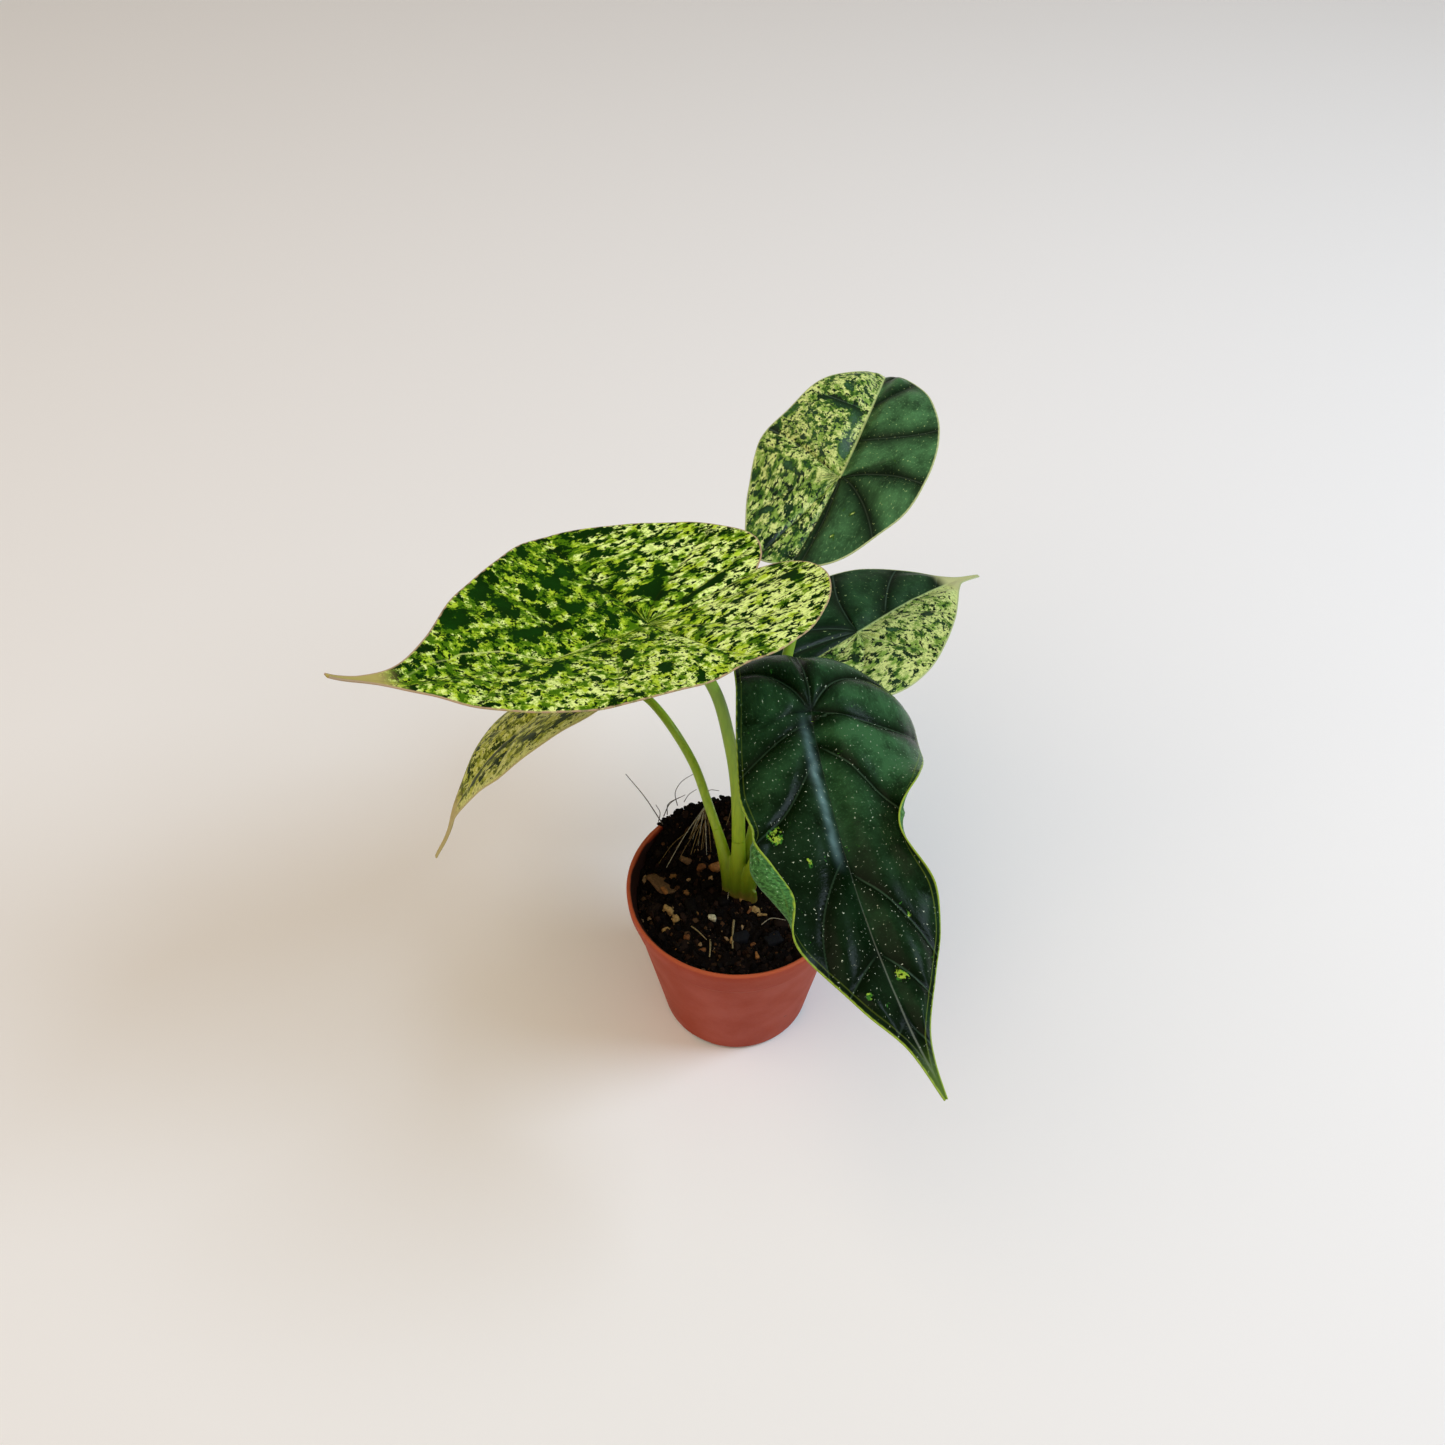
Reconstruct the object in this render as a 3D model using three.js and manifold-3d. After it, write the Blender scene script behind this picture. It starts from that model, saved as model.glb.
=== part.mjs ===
// A potted variegated dragon scale alocasia: five peltate leaves on arching stalks that rise from one
// crown, in soil, in a thin terracotta-coloured plastic nursery pot.
// Units are millimetres and +Z is up. The origin is the middle of the pot's underside.
// The photograph was taken from the -Y side, so -Y is the front and +X is to the right.
import * as THREE from 'three';
import { mergeVertices } from 'three/addons/utils/BufferGeometryUtils.js';
import Module from 'manifold-3d';

const wasm = await Module();
wasm.setup();

// Driving sizes of the pot
const potHeight = 51.5;
const potTopRadius = 30;
const potBaseRadius = 20.8;
const potWall = 1.2;
const potFloor = 1.4;
const baseCorner = 2;
const floorFillet = 1;
const lipRound = 0.4;
const rimBandHeight = 10;
const rimBandStep = 0.45;
const drainRadius = 2.6;
const drainCircle = 12;
const drainCount = 5;
const drainSides = 12;
const cornerSlotAngles = [-118, -28, 62, 152];
const cornerSlot = { across: 6, deep: 5, high: 3.2 };
const potSides = 44;

// Driving sizes of the soil
const gap = 0.3;
const soilLevel = 46;
const soilBackRise = 4.5;
const soilRoughness = 0.7;
const soilSectors = 36;
const soilRings = 9;
const crownX = 1;
const crownY = 2.4;
const crownSeatRadius = 10;
const crownSeatBlend = 5;
const crownFoot = 45.3;

// Driving sizes of the plant
const bladeThickness = 0.8;
const midribDepth = 0.7;
const veinDepth = 0.25;
const quiltHeight = 1;
const fullQuiltPanel = 14;
const outlineRows = 30;
const rowSweep = 1.25;
const rowLead = 0.5;
const sheathTop = 61;
const sheathRadius = 2.3;
const stalkSides = 8;
const stalkSteps = 13;
const sheathSteps = 5;
const stalkLanding = 3;

const rad = THREE.MathUtils.degToRad;
const smooth = (v) => THREE.MathUtils.smoothstep(v, 0, 1);

// Each leaf is drawn flat and then bent. Flat, x runs from the stalk's joint to the drip tip and y runs
// outwards, and each half outline goes from the notch between the two back lobes to the tip.
// Bent, the midrib leaves the joint at a heading (turned from +X towards +Y), a pitch and a roll, then
// droops and sways along its length. Each half folds up along the midrib and curls towards its margin.
// A roll-up turns the outer part of one half over: at, span along the midrib, angle, start as a share.
// Veins are the rows, of the 30 from the notch to the tip, that a side vein runs along.
const leaves = {
  left: {
    color: 0x9fb545,
    joint: [-21, 8, 141],
    heading: 221, pitch: 11, roll: 13, droop: -20, droopPower: 1.5, lobeDroop: -17,
    fold: [7, 7], curl: [-4, 14], sway: -15, tipLift: 18, tipSway: 20, twist: -13,
    halfWidth: 34, columns: 6, rollUps: [[], []], veins: [3, 7, 12, 15, 18, 21, 24, 27],
    outlines: [
      [[-34, 0], [-39.5, 4], [-42.5, 11], [-40, 20], [-30, 29], [-14, 34.5], [5, 34.2], [22, 30.4],
        [39, 23.5], [52, 14.6], [60, 7.1], [66, 3.3], [74, 1.5], [82, 0.6]],
      [[-34, 0], [-39, 4], [-42, 10], [-40, 17], [-31, 27], [-14, 36], [5, 38.8], [22, 33],
        [39, 24], [52, 12.6], [60, 6.2], [66, 3.4], [74, 1.5], [82, 0.6]],
    ],
  },
  top: {
    color: 0x4f7a3a,
    joint: [27, 71, 134.5],
    heading: 63, pitch: 26, roll: -8, droop: 83, droopPower: 1.8, lobeDroop: -32,
    fold: [10, 14], curl: [-10, 0], sway: 22, tipLift: 8, tipSway: 0, twist: 21,
    halfWidth: 25, columns: 6, rollUps: [[], []], veins: [3, 7, 12, 15, 18, 21, 24, 27],
    outlines: [
      [[-30, 0], [-33, 2.5], [-34, 7], [-31, 12.5], [-23, 16.8], [-11, 21.8], [3, 25], [15, 20.6],
        [26, 16], [34, 10], [40, 5.5], [45, 2.6], [54, 0.4]],
      [[-30, 0], [-32, 2], [-33, 6.5], [-30.5, 12.5], [-23, 18.2], [-10, 24.6], [3, 26.1], [15, 22.6],
        [26, 16], [34, 10], [40, 5], [45, 2], [54, 0.4]],
    ],
  },
  right: {
    color: 0x4a7440,
    joint: [32.6, 47.3, 100.8],
    heading: 44, pitch: -3, roll: -1, droop: 20, droopPower: 1.5, lobeDroop: -4,
    fold: [7, 5], curl: [-10, -12], sway: -6, tipLift: 0, tipSway: 0, twist: -4,
    halfWidth: 22, columns: 6, rollUps: [[], []], veins: [3, 7, 12, 15, 18, 21, 24, 27],
    outlines: [
      [[-22, 0], [-26, 3], [-27.5, 8], [-26, 14], [-19, 19.5], [-9, 22.5], [3, 22.5], [14, 20.5],
        [24, 15], [32, 9], [38, 4], [43, 1.4], [51.5, 0.4]],
      [[-22, 0], [-26, 3], [-27.5, 8], [-26, 14], [-19, 20], [-9, 23.2], [3, 22.8], [14, 19.1],
        [24, 14], [32, 8.5], [38, 4], [43, 1.4], [51.5, 0.4]],
    ],
  },
  front: {
    color: 0x1f4a28,
    joint: [17.2, -3.2, 125],
    heading: -81.5, pitch: -8, roll: -8, droop: 14, droopPower: 1.5, lobeDroop: 69,
    fold: [-3, -3], curl: [-43, -36], sway: 15.5, tipLift: 0, tipSway: 6, twist: -4,
    halfWidth: 30, columns: 12, veins: [3, 7, 12, 15, 21, 24, 27],
    rollUps: [
      [{ at: 36, span: 14, angle: 150, start: 0.4 }],
      [{ at: 40, span: 12.5, angle: 210, start: 0.6 }],
    ],
    outlines: [
      [[-23, 0], [-28.5, 5], [-30.5, 13], [-28, 22.5], [-20, 29.5], [-8, 34], [8, 34], [20, 27],
        [31, 19], [41, 16.6], [50, 17.4], [60, 16.2], [70, 11], [79, 5], [87, 2], [95, 0.4]],
      [[-23, 0], [-27.5, 3], [-29, 8], [-26.5, 12.5], [-20, 15.5], [-8, 17], [8, 19.5], [20, 21],
        [32, 27], [42, 27.5], [52, 21.3], [64, 14.3], [74, 8.2], [83, 2.6], [95, 0.4]],
    ],
  },
  low: {
    color: 0x8a8f4a,
    joint: [-29, 35.6, 97.3],
    heading: 205, pitch: -4, roll: 35, droop: 77, droopPower: 1.5, lobeDroop: 5,
    fold: [5, 2], curl: [-5, -15], sway: 20, tipLift: 26, tipSway: -5, twist: -8,
    halfWidth: 32, columns: 6, rollUps: [[], []], veins: [3, 7, 12, 15, 18, 21, 24, 27],
    outlines: [
      [[-16, 0], [-21, 4], [-24, 10], [-22, 18], [-16, 25], [-7, 29], [5, 30], [21, 27.4],
        [37, 22.4], [48, 13.6], [56, 6.8], [62, 3], [69, 1.3], [77, 0.5]],
      [[-16, 0], [-21, 4], [-24, 10], [-22, 18], [-16, 25], [-7, 29.5], [5, 31], [21, 28],
        [37, 21], [48, 12.5], [56, 6], [62, 2.4], [69, 1], [77, 0.4]],
    ],
  },
};

// Stalk routes from the crown's foot up to near the leaf, with the radius low and high
const stalks = {
  left: {
    radii: [1.9, 1.35],
    route: [[0.2, 1.2, crownFoot], [0.2, 1.6, 52], [0.4, 3.2, 62], [-0.1, 5.4, 84], [-2, 6.6, 101],
      [-5.5, 7.8, 118], [-9.9, 8.2, 127], [-15.4, 7.8, 132.5]],
  },
  low: {
    radii: [1.35, 1.1],
    route: [[-1.8, 2.2, crownFoot], [-2.2, 2.8, 51.5], [-4.2, 5.6, 62], [-7.6, 9.6, 73.5],
      [-11.4, 15, 83.5], [-17.5, 22, 91], [-23, 29, 93]],
  },
  top: {
    radii: [1.6, 1.2],
    route: [[1.8, 4.2, crownFoot], [2.2, 4.8, 52], [4.2, 8, 62], [7.2, 14.8, 83], [10, 21, 100],
      [12.6, 27.4, 111.5], [15.6, 36, 118.4], [19.4, 47, 122.4], [24, 59.5, 125.5]],
  },
  front: {
    radii: [1.7, 1.3],
    route: [[2.6, 0.6, crownFoot], [3.2, 0.4, 52], [5.4, 0.6, 63], [9.4, 1.2, 84], [12.6, 1, 100],
      [14.6, 0, 112]],
  },
  right: {
    radii: [1.4, 1.1],
    route: [[3.4, 3.2, crownFoot], [3.8, 3.3, 51], [7.8, 5.6, 62], [12.6, 13, 75], [18.5, 23.5, 86],
      [25.5, 35.5, 93]],
  },
};

// A repeatable random number between 0 and 1
function seeded(seed) {
  let state = seed;
  return () => {
    state = (state * 16807) % 2147483647;
    return state / 2147483647;
  };
}

function geometryFrom(points, triangles) {
  const geometry = new THREE.BufferGeometry();
  geometry.setAttribute('position', new THREE.Float32BufferAttribute(points.flat(), 3));
  geometry.setIndex(triangles.flat());
  geometry.computeVertexNormals();
  return geometry;
}

function solidFrom(geometry) {
  const bare = geometry.clone();
  bare.deleteAttribute('normal');
  bare.deleteAttribute('uv');
  const merged = mergeVertices(bare, 1e-4);
  return new wasm.Manifold(new wasm.Mesh({
    numProp: 3,
    vertProperties: new Float32Array(merged.attributes.position.array),
    triVerts: new Uint32Array(merged.index.array),
  }));
}

function geometryOf(solid) {
  const mesh = solid.getMesh();
  const geometry = new THREE.BufferGeometry();
  geometry.setAttribute('position', new THREE.BufferAttribute(new Float32Array(mesh.vertProperties), 3));
  geometry.setIndex(new THREE.BufferAttribute(new Uint32Array(mesh.triVerts), 1));
  geometry.computeVertexNormals();
  return geometry;
}

// A smooth curve through a list of flat points, at u from 0 to 1
function alongPoints(points, u) {
  const spans = points.length - 1;
  const span = Math.min(Math.floor(u * spans), spans - 1);
  const f = u * spans - span;
  const beyond = (a, b) => [2 * a[0] - b[0], 2 * a[1] - b[1]];
  const p1 = points[span];
  const p2 = points[span + 1];
  const p0 = span > 0 ? points[span - 1] : beyond(p1, p2);
  const p3 = span + 2 <= spans ? points[span + 2] : beyond(p2, p1);
  const blend = (a, b, c, d) => 0.5 * (2 * b + (c - a) * f + (2 * a - 5 * b + 4 * c - d) * f * f
    + (3 * b - a - 3 * c + d) * f * f * f);
  return [blend(p0[0], p1[0], p2[0], p3[0]), blend(p0[1], p1[1], p2[1], p3[1])];
}

// Value at x in two matching lists, with x rising
function lookUp(xs, values, x) {
  if (x <= xs[0]) return values[0];
  const last = xs.length - 1;
  if (x >= xs[last]) return values[last];
  let low = 0;
  while (xs[low + 1] < x) low += 1;
  const f = (x - xs[low]) / (xs[low + 1] - xs[low]);
  return values[low] + (values[low + 1] - values[low]) * f;
}

// The bent midrib as stations: place, forward, sideways (to the left) and up, from the lobes to the tip
function midribStations(leaf) {
  const stations = 80;
  const tipX = leaf.outlines[0].at(-1)[0];
  const lobeX = -Math.min(...leaf.outlines.flat().map((point) => point[0]));
  const start = -1.05 * lobeX;
  const step = (1.02 * tipX - start) / stations;
  const place = new THREE.Vector3();
  const list = [];
  for (let k = 0; k <= stations; k += 1) {
    const x = start + k * step;
    const ahead = Math.max(x / tipX, 0);
    const behind = Math.max(-x / lobeX, 0);
    const nearTip = smooth((ahead - 0.8) / 0.2);
    const pitch = rad(leaf.pitch - leaf.droop * ahead ** leaf.droopPower
      + leaf.lobeDroop * behind ** 1.2 + leaf.tipLift * nearTip);
    const yaw = rad(leaf.heading + leaf.sway * ahead ** 1.5 + leaf.tipSway * nearTip);
    const roll = rad(leaf.roll + leaf.twist * ahead);
    const forward = new THREE.Vector3(Math.cos(pitch) * Math.cos(yaw), Math.cos(pitch) * Math.sin(yaw),
      Math.sin(pitch));
    const level = new THREE.Vector3(-Math.sin(yaw), Math.cos(yaw), 0);
    const side = level.clone().applyAxisAngle(forward, roll);
    const up = forward.clone().cross(side);
    if (k > 0) {
      const mean = forward.clone().add(list[k - 1].forward).multiplyScalar(step / 2);
      place.add(mean);
    }
    list.push({ x, place: place.clone(), forward, side, up });
  }
  const home = stationAt(list, 0).place;
  const shift = new THREE.Vector3(...leaf.joint).sub(home);
  list.forEach((station) => station.place.add(shift));
  return list;
}

function stationAt(list, x) {
  const step = list[1].x - list[0].x;
  const position = THREE.MathUtils.clamp((x - list[0].x) / step, 0, list.length - 1.001);
  const low = Math.floor(position);
  const f = position - low;
  const mix = (key) => list[low][key].clone().lerp(list[low + 1][key], f);
  return { place: mix('place'), side: mix('side'), up: mix('up') };
}

// How wide one half of the flat blade is at each x, used to say where a roll-up starts
function halfWidths(outline) {
  const steps = 200;
  const curve = Array.from({ length: steps + 1 }, (_, k) => alongPoints(outline, k / steps));
  const back = curve.reduce((best, point, k) => (point[0] < curve[best][0] ? k : best), 0);
  const ahead = curve.slice(back);
  return { xs: ahead.map((point) => point[0]), widths: ahead.map((point) => Math.max(point[1], 0.5)) };
}

// The point of the bent blade that lies at x, y in the flat one, on side 0 (left) or 1 (right)
function bladePoint(leaf, stations, widths, side, x, y) {
  const samples = 14;
  const width = lookUp(widths[side].xs, widths[side].widths, x);
  let across = 0;
  let rise = 0;
  for (let k = 0; k < samples; k += 1) {
    const reach = y * (k + 0.5) / samples;
    let angle = leaf.fold[side] + leaf.curl[side] * (reach / leaf.halfWidth) ** 1.2;
    for (const rollUp of leaf.rollUps[side]) {
      const near = Math.exp(-(((x - rollUp.at) / rollUp.span) ** 2));
      angle += rollUp.angle * near * smooth((reach / width - rollUp.start) / (1 - rollUp.start));
    }
    across += Math.cos(rad(angle)) * y / samples;
    rise += Math.sin(rad(angle)) * y / samples;
  }
  const station = stationAt(stations, x);
  const sign = side === 0 ? 1 : -1;
  return station.place.addScaledVector(station.side, sign * across).addScaledVector(station.up, rise);
}

// The quilted blade's lift on one row: none along a vein, most in the middle of a broad panel
function quiltLift(veins, ends, roots, row) {
  const stops = [0, ...veins, outlineRows];
  let k = 0;
  while (stops[k + 1] < row) k += 1;
  const phase = (row - stops[k]) / (stops[k + 1] - stops[k]);
  const [from, to, here] = [ends[stops[k]], ends[stops[k + 1]], ends[row]];
  const panel = Math.hypot(to[0] - from[0], to[1] - from[1]);
  const reach = Math.hypot(here[0] - roots[row], here[1]);
  const share = Math.min(1, panel / fullQuiltPanel, reach / fullQuiltPanel);
  return quiltHeight * share * Math.sin(Math.PI * phase);
}

// The blade is a grid: rows run out from the joint and the midrib like the veins, columns run round it.
// Its middle surface is lifted between the veins, then thickened, with both faces split alike.
function leafGeometry(leaf) {
  const stations = midribStations(leaf);
  const widths = leaf.outlines.map(halfWidths);
  const columns = leaf.columns;
  const ends = leaf.outlines.map((outline) => Array.from({ length: outlineRows + 1 },
    (_, row) => alongPoints(outline, row / outlineRows)));
  const roots = ends[0].map((end, row) => Math.max(0, (end[0] + ends[1][row][0]) / 2
    - rowLead * (end[1] + ends[1][row][1]) / 2));

  const points = [];
  const shared = new Map();
  const vertex = (side, row, column) => {
    let key = `${side} ${row} ${column}`;
    if (row === 0) key = `notch ${column}`;
    if (column === 0) key = roots[row] === 0 ? 'joint' : `midrib ${row}`;
    if (!shared.has(key)) {
      const t = column / columns;
      const [endX, endY] = ends[side][row];
      const x = roots[row] + (endX - roots[row]) * t ** rowSweep;
      const lift = quiltLift(leaf.veins, ends[side], roots, row) * Math.sin(Math.PI * t);
      const vein = leaf.veins.includes(row) ? veinDepth * (1 - t) : 0;
      const rib = column === 0 ? midribDepth * (1 - row / outlineRows) : vein;
      shared.set(key, points.length);
      points.push({ place: bladePoint(leaf, stations, widths, side, x, endY * t), lift, rib });
    }
    return shared.get(key);
  };

  const faces = [];
  for (const side of [0, 1]) {
    for (let row = 0; row < outlineRows; row += 1) {
      for (let column = 0; column < columns; column += 1) {
        const a = vertex(side, row, column);
        const b = vertex(side, row + 1, column);
        const c = vertex(side, row + 1, column + 1);
        const d = vertex(side, row, column + 1);
        const [placeA, placeB, placeC, placeD] = [a, b, c, d].map((k) => points[k].place);
        let pair = [[a, b, c], [a, c, d]];
        if (placeB.distanceTo(placeD) < placeA.distanceTo(placeC)) pair = [[a, b, d], [b, c, d]];
        if (a === b) pair = [[a, c, d]];
        faces.push(...pair.map((face) => (side === 0 ? face : face.toReversed())));
      }
    }
  }

  const normals = points.map(() => new THREE.Vector3());
  for (const face of faces) {
    const [a, b, c] = face.map((k) => points[k].place);
    const normal = b.clone().sub(a).cross(c.clone().sub(a));
    face.forEach((k) => normals[k].add(normal));
  }
  normals.forEach((normal) => normal.normalize());

  const count = points.length;
  const upper = points.map((point, k) => point.place.clone()
    .addScaledVector(normals[k], point.lift + bladeThickness / 2).toArray());
  const lower = points.map((point, k) => point.place.clone()
    .addScaledVector(normals[k], point.lift - bladeThickness / 2 - point.rib).toArray());
  const triangles = [...faces, ...faces.map((face) => face.toReversed().map((k) => k + count))];
  const edges = new Set(faces.flatMap((face) => face.map((k, n) => `${k} ${face[(n + 1) % 3]}`)));
  for (const edge of edges) {
    const [from, to] = edge.split(' ').map(Number);
    if (!edges.has(`${to} ${from}`)) {
      triangles.push([to, from, from + count], [to, from + count, to + count]);
    }
  }
  return geometryFrom([...upper, ...lower], triangles);
}

// The blade's own up direction at the joint: the stalk comes in against it
function jointNormal(leaf) {
  return stationAt(midribStations(leaf), 0).up.normalize();
}

// The whole stalk's curve, from the crown's foot to just under the blade
function stalkCurve(name) {
  const leaf = leaves[name];
  const joint = new THREE.Vector3(...leaf.joint);
  const up = jointNormal(leaf);
  const below = (distance) => joint.clone().addScaledVector(up, -distance);
  const seat = bladeThickness / 2 + midribDepth + gap;
  const route = stalks[name].route.map((point) => new THREE.Vector3(...point));
  route.push(below(seat + stalkLanding), below(seat));
  return new THREE.CatmullRomCurve3(route, false, 'centripetal');
}

// A solid round tube along part of a curve, with a radius for each share of the way
function tubeGeometry(curve, from, to, steps, radiusAt) {
  const sides = stalkSides;
  const points = [];
  const triangles = [];
  let across = new THREE.Vector3(1, 0, 0);
  for (let ring = 0; ring <= steps; ring += 1) {
    const share = THREE.MathUtils.lerp(from, to, ring / steps);
    const centre = curve.getPointAt(share);
    const tangent = curve.getTangentAt(share);
    across = across.clone().addScaledVector(tangent, -across.dot(tangent)).normalize();
    const other = tangent.clone().cross(across);
    for (let k = 0; k < sides; k += 1) {
      const angle = 2 * Math.PI * k / sides;
      const radius = radiusAt(share);
      points.push(centre.clone().addScaledVector(across, radius * Math.cos(angle))
        .addScaledVector(other, radius * Math.sin(angle)).toArray());
    }
  }
  for (let ring = 0; ring < steps; ring += 1) {
    for (let k = 0; k < sides; k += 1) {
      const a = ring * sides + k;
      const b = ring * sides + (k + 1) % sides;
      triangles.push([a, b, b + sides], [a, b + sides, a + sides]);
    }
  }
  const first = points.push(curve.getPointAt(from).toArray()) - 1;
  const last = points.push(curve.getPointAt(to).toArray()) - 1;
  const top = steps * sides;
  for (let k = 0; k < sides; k += 1) {
    const next = (k + 1) % sides;
    triangles.push([first, next, k], [last, top + k, top + next]);
  }
  return geometryFrom(points, triangles);
}

// The share of a stalk's length that is sheath and belongs to the crown
function sheathShare(curve) {
  let share = 0;
  while (curve.getPointAt(share).z < sheathTop) share += 0.002;
  return share;
}

function stalkGeometry(name) {
  const curve = stalkCurve(name);
  const start = sheathShare(curve) + gap / curve.getLength();
  const [low, high] = stalks[name].radii;
  return tubeGeometry(curve, start, 1, stalkSteps, (share) => low + (high - low) * share);
}

// The crown: the sheathing feet of all the stalks, grown together
function crownGeometry() {
  const feet = Object.keys(stalks).map((name) => {
    const curve = stalkCurve(name);
    const end = sheathShare(curve);
    const [low, high] = stalks[name].radii;
    const radiusAt = (share) => {
      const stalkRadius = low + (high - low) * share;
      return stalkRadius + (sheathRadius - stalkRadius) * (1 - smooth(share / end));
    };
    return solidFrom(tubeGeometry(curve, 0, end, sheathSteps, radiusAt));
  });
  return geometryOf(feet.reduce((whole, foot) => whole.add(foot)));
}

// Inner radius of the pot at a height
function potInside(height) {
  const share = height / potHeight;
  return potBaseRadius + (potTopRadius - rimBandStep - potBaseRadius) * share - potWall;
}

function potGeometry() {
  const bandFoot = potHeight - rimBandHeight;
  const outsideAt = (height) => potInside(height) + potWall;
  const profile = [
    [0, 0],
    [potBaseRadius - baseCorner, 0],
    [potBaseRadius - 0.3 * baseCorner, 0.3 * baseCorner],
    [outsideAt(baseCorner), baseCorner],
    [outsideAt(bandFoot), bandFoot],
    [outsideAt(bandFoot) + rimBandStep, bandFoot + rimBandStep],
    [potTopRadius, potHeight - lipRound],
    [potTopRadius - lipRound, potHeight],
    [potTopRadius - potWall, potHeight],
    [potInside(potHeight), potHeight - lipRound],
    [potInside(potFloor + floorFillet), potFloor + floorFillet],
    [potInside(potFloor) - floorFillet, potFloor],
    [0, potFloor],
  ].map(([radius, height]) => new THREE.Vector2(radius, height));
  let pot = solidFrom(new THREE.LatheGeometry(profile, potSides).rotateX(Math.PI / 2));
  for (let k = 0; k < drainCount; k += 1) {
    const drain = new THREE.CylinderGeometry(drainRadius, drainRadius, 3 * potFloor, drainSides)
      .rotateX(Math.PI / 2)
      .translate(drainCircle, 0, potFloor / 2)
      .rotateZ(2 * Math.PI * k / drainCount);
    pot = pot.subtract(solidFrom(drain));
  }
  for (const degrees of cornerSlotAngles) {
    const slot = new THREE.BoxGeometry(cornerSlot.deep, cornerSlot.across, cornerSlot.high)
      .translate(potBaseRadius, 0, 0)
      .rotateZ(rad(degrees));
    pot = pot.subtract(solidFrom(slot));
  }
  return geometryOf(pot);
}

// Height of the soil's surface: rough, banked up at the back and level where the crown stands
function soilHeight(x, y) {
  const rough = Math.sin(x * 0.9 + 1.3) * Math.cos(y * 0.8) + 0.6 * Math.sin(x * 2.1 - y * 1.7);
  const bank = soilBackRise * smooth((y - crownY) / (potTopRadius - 2 * crownY));
  const fromCrown = Math.hypot(x - crownX, y - crownY);
  const open = smooth((fromCrown - crownSeatRadius) / crownSeatBlend);
  const seat = crownFoot - gap;
  return seat + (soilLevel + bank + soilRoughness * rough - seat) * open;
}

// Bark chips and lumps that stand out of the soil: x, y, half size, turn in degrees
const chips = [
  [-20, 3, 4.5, 55], [-9.6, 8.5, 2, 60], [-6, 7.5, 2, 130], [-18.4, -8, 2.2, 15], [-7.5, -10.5, 2, 40],
  [3, -15, 1.9, 80], [-1, -21, 1.6, 10], [9, -12, 2.2, 150], [16, -8, 2.4, 95], [18, 6, 2.6, 30],
  [12, 18, 2.8, 70], [-3, 20, 3, 110], [-15, 15, 2.7, 50], [-18.8, -13, 2, 25],
];
const chipWidths = [0.6, 0.9];
const chipThickness = 0.45;
const chipSink = 0.1;
const chipTilt = 15;

// One chip: its width, thickness and sink are shares of its half size
function chipGeometry([x, y, half, turn], random) {
  const width = half * THREE.MathUtils.lerp(...chipWidths, random());
  const tilt = chipTilt * (2 * random() - 1);
  return new THREE.DodecahedronGeometry(1, 0)
    .scale(half, width, chipThickness * half)
    .rotateX(rad(tilt))
    .rotateZ(rad(turn))
    .translate(x, y, soilHeight(x, y) - chipSink * half);
}

// The soil fills the pot from its floor to the rough surface, in rings of equal area
function soilGeometry() {
  const bottom = potFloor + gap;
  const edgeFoot = potInside(bottom) - floorFillet - gap;
  const top = potInside(soilLevel) - gap;
  const points = [[0, 0, bottom]];
  const addRing = (radius, heightAt) => {
    for (let k = 0; k < soilSectors; k += 1) {
      const angle = 2 * Math.PI * k / soilSectors;
      const x = radius * Math.cos(angle);
      const y = radius * Math.sin(angle);
      points.push([x, y, heightAt(x, y)]);
    }
  };
  addRing(edgeFoot, () => bottom);
  for (let ring = soilRings; ring >= 1; ring -= 1) addRing(top * Math.sqrt(ring / soilRings), soilHeight);
  const centre = points.push([0, 0, soilHeight(0, 0)]) - 1;
  const triangles = [];
  for (let k = 0; k < soilSectors; k += 1) {
    const next = (k + 1) % soilSectors;
    triangles.push([0, 1 + next, 1 + k]);
    for (let ring = 0; ring < soilRings; ring += 1) {
      const a = 1 + ring * soilSectors + k;
      const b = 1 + ring * soilSectors + next;
      triangles.push([a, b, b + soilSectors], [a, b + soilSectors, a + soilSectors]);
    }
    const inner = 1 + soilRings * soilSectors;
    triangles.push([inner + k, inner + next, centre]);
  }
  let soil = solidFrom(geometryFrom(points, triangles));
  const random = seeded(11);
  for (const chip of chips) soil = soil.add(solidFrom(chipGeometry(chip, random)));
  return geometryOf(soil);
}

const plant = new THREE.Group();

function addPart(name, geometry, color, roughness) {
  const material = new THREE.MeshStandardMaterial({ color, roughness, metalness: 0 });
  const mesh = new THREE.Mesh(geometry, material);
  mesh.name = name;
  plant.add(mesh);
}

addPart('pot', potGeometry(), 0xa8502f, 0.6);
addPart('soil', soilGeometry(), 0x2a1c14, 1);
addPart('crown', crownGeometry(), 0x8fa82c, 0.45);
for (const name of Object.keys(leaves)) {
  addPart(`stalk_${name}`, stalkGeometry(name), 0x86a22a, 0.4);
  addPart(`leaf_${name}`, leafGeometry(leaves[name]), leaves[name].color, 0.35);
}

export default plant;
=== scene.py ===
import math

import bpy
import numpy as np
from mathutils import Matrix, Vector, noise


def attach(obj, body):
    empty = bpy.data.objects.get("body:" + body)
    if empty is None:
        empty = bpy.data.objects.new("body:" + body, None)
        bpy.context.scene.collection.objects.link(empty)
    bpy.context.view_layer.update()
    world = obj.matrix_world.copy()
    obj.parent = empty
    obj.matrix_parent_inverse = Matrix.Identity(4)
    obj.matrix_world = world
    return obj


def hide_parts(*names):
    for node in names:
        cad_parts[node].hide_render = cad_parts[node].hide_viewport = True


# A potted variegated dragon scale alocasia: five leaves on arching stalks from one crown, in soil, in a
# thin terracotta-coloured plastic nursery pot. Sizes are written in millimetres; meshes are in metres.
# +Z is up, the origin is the middle of the pot's underside, and the photograph looks along +Y.

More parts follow.
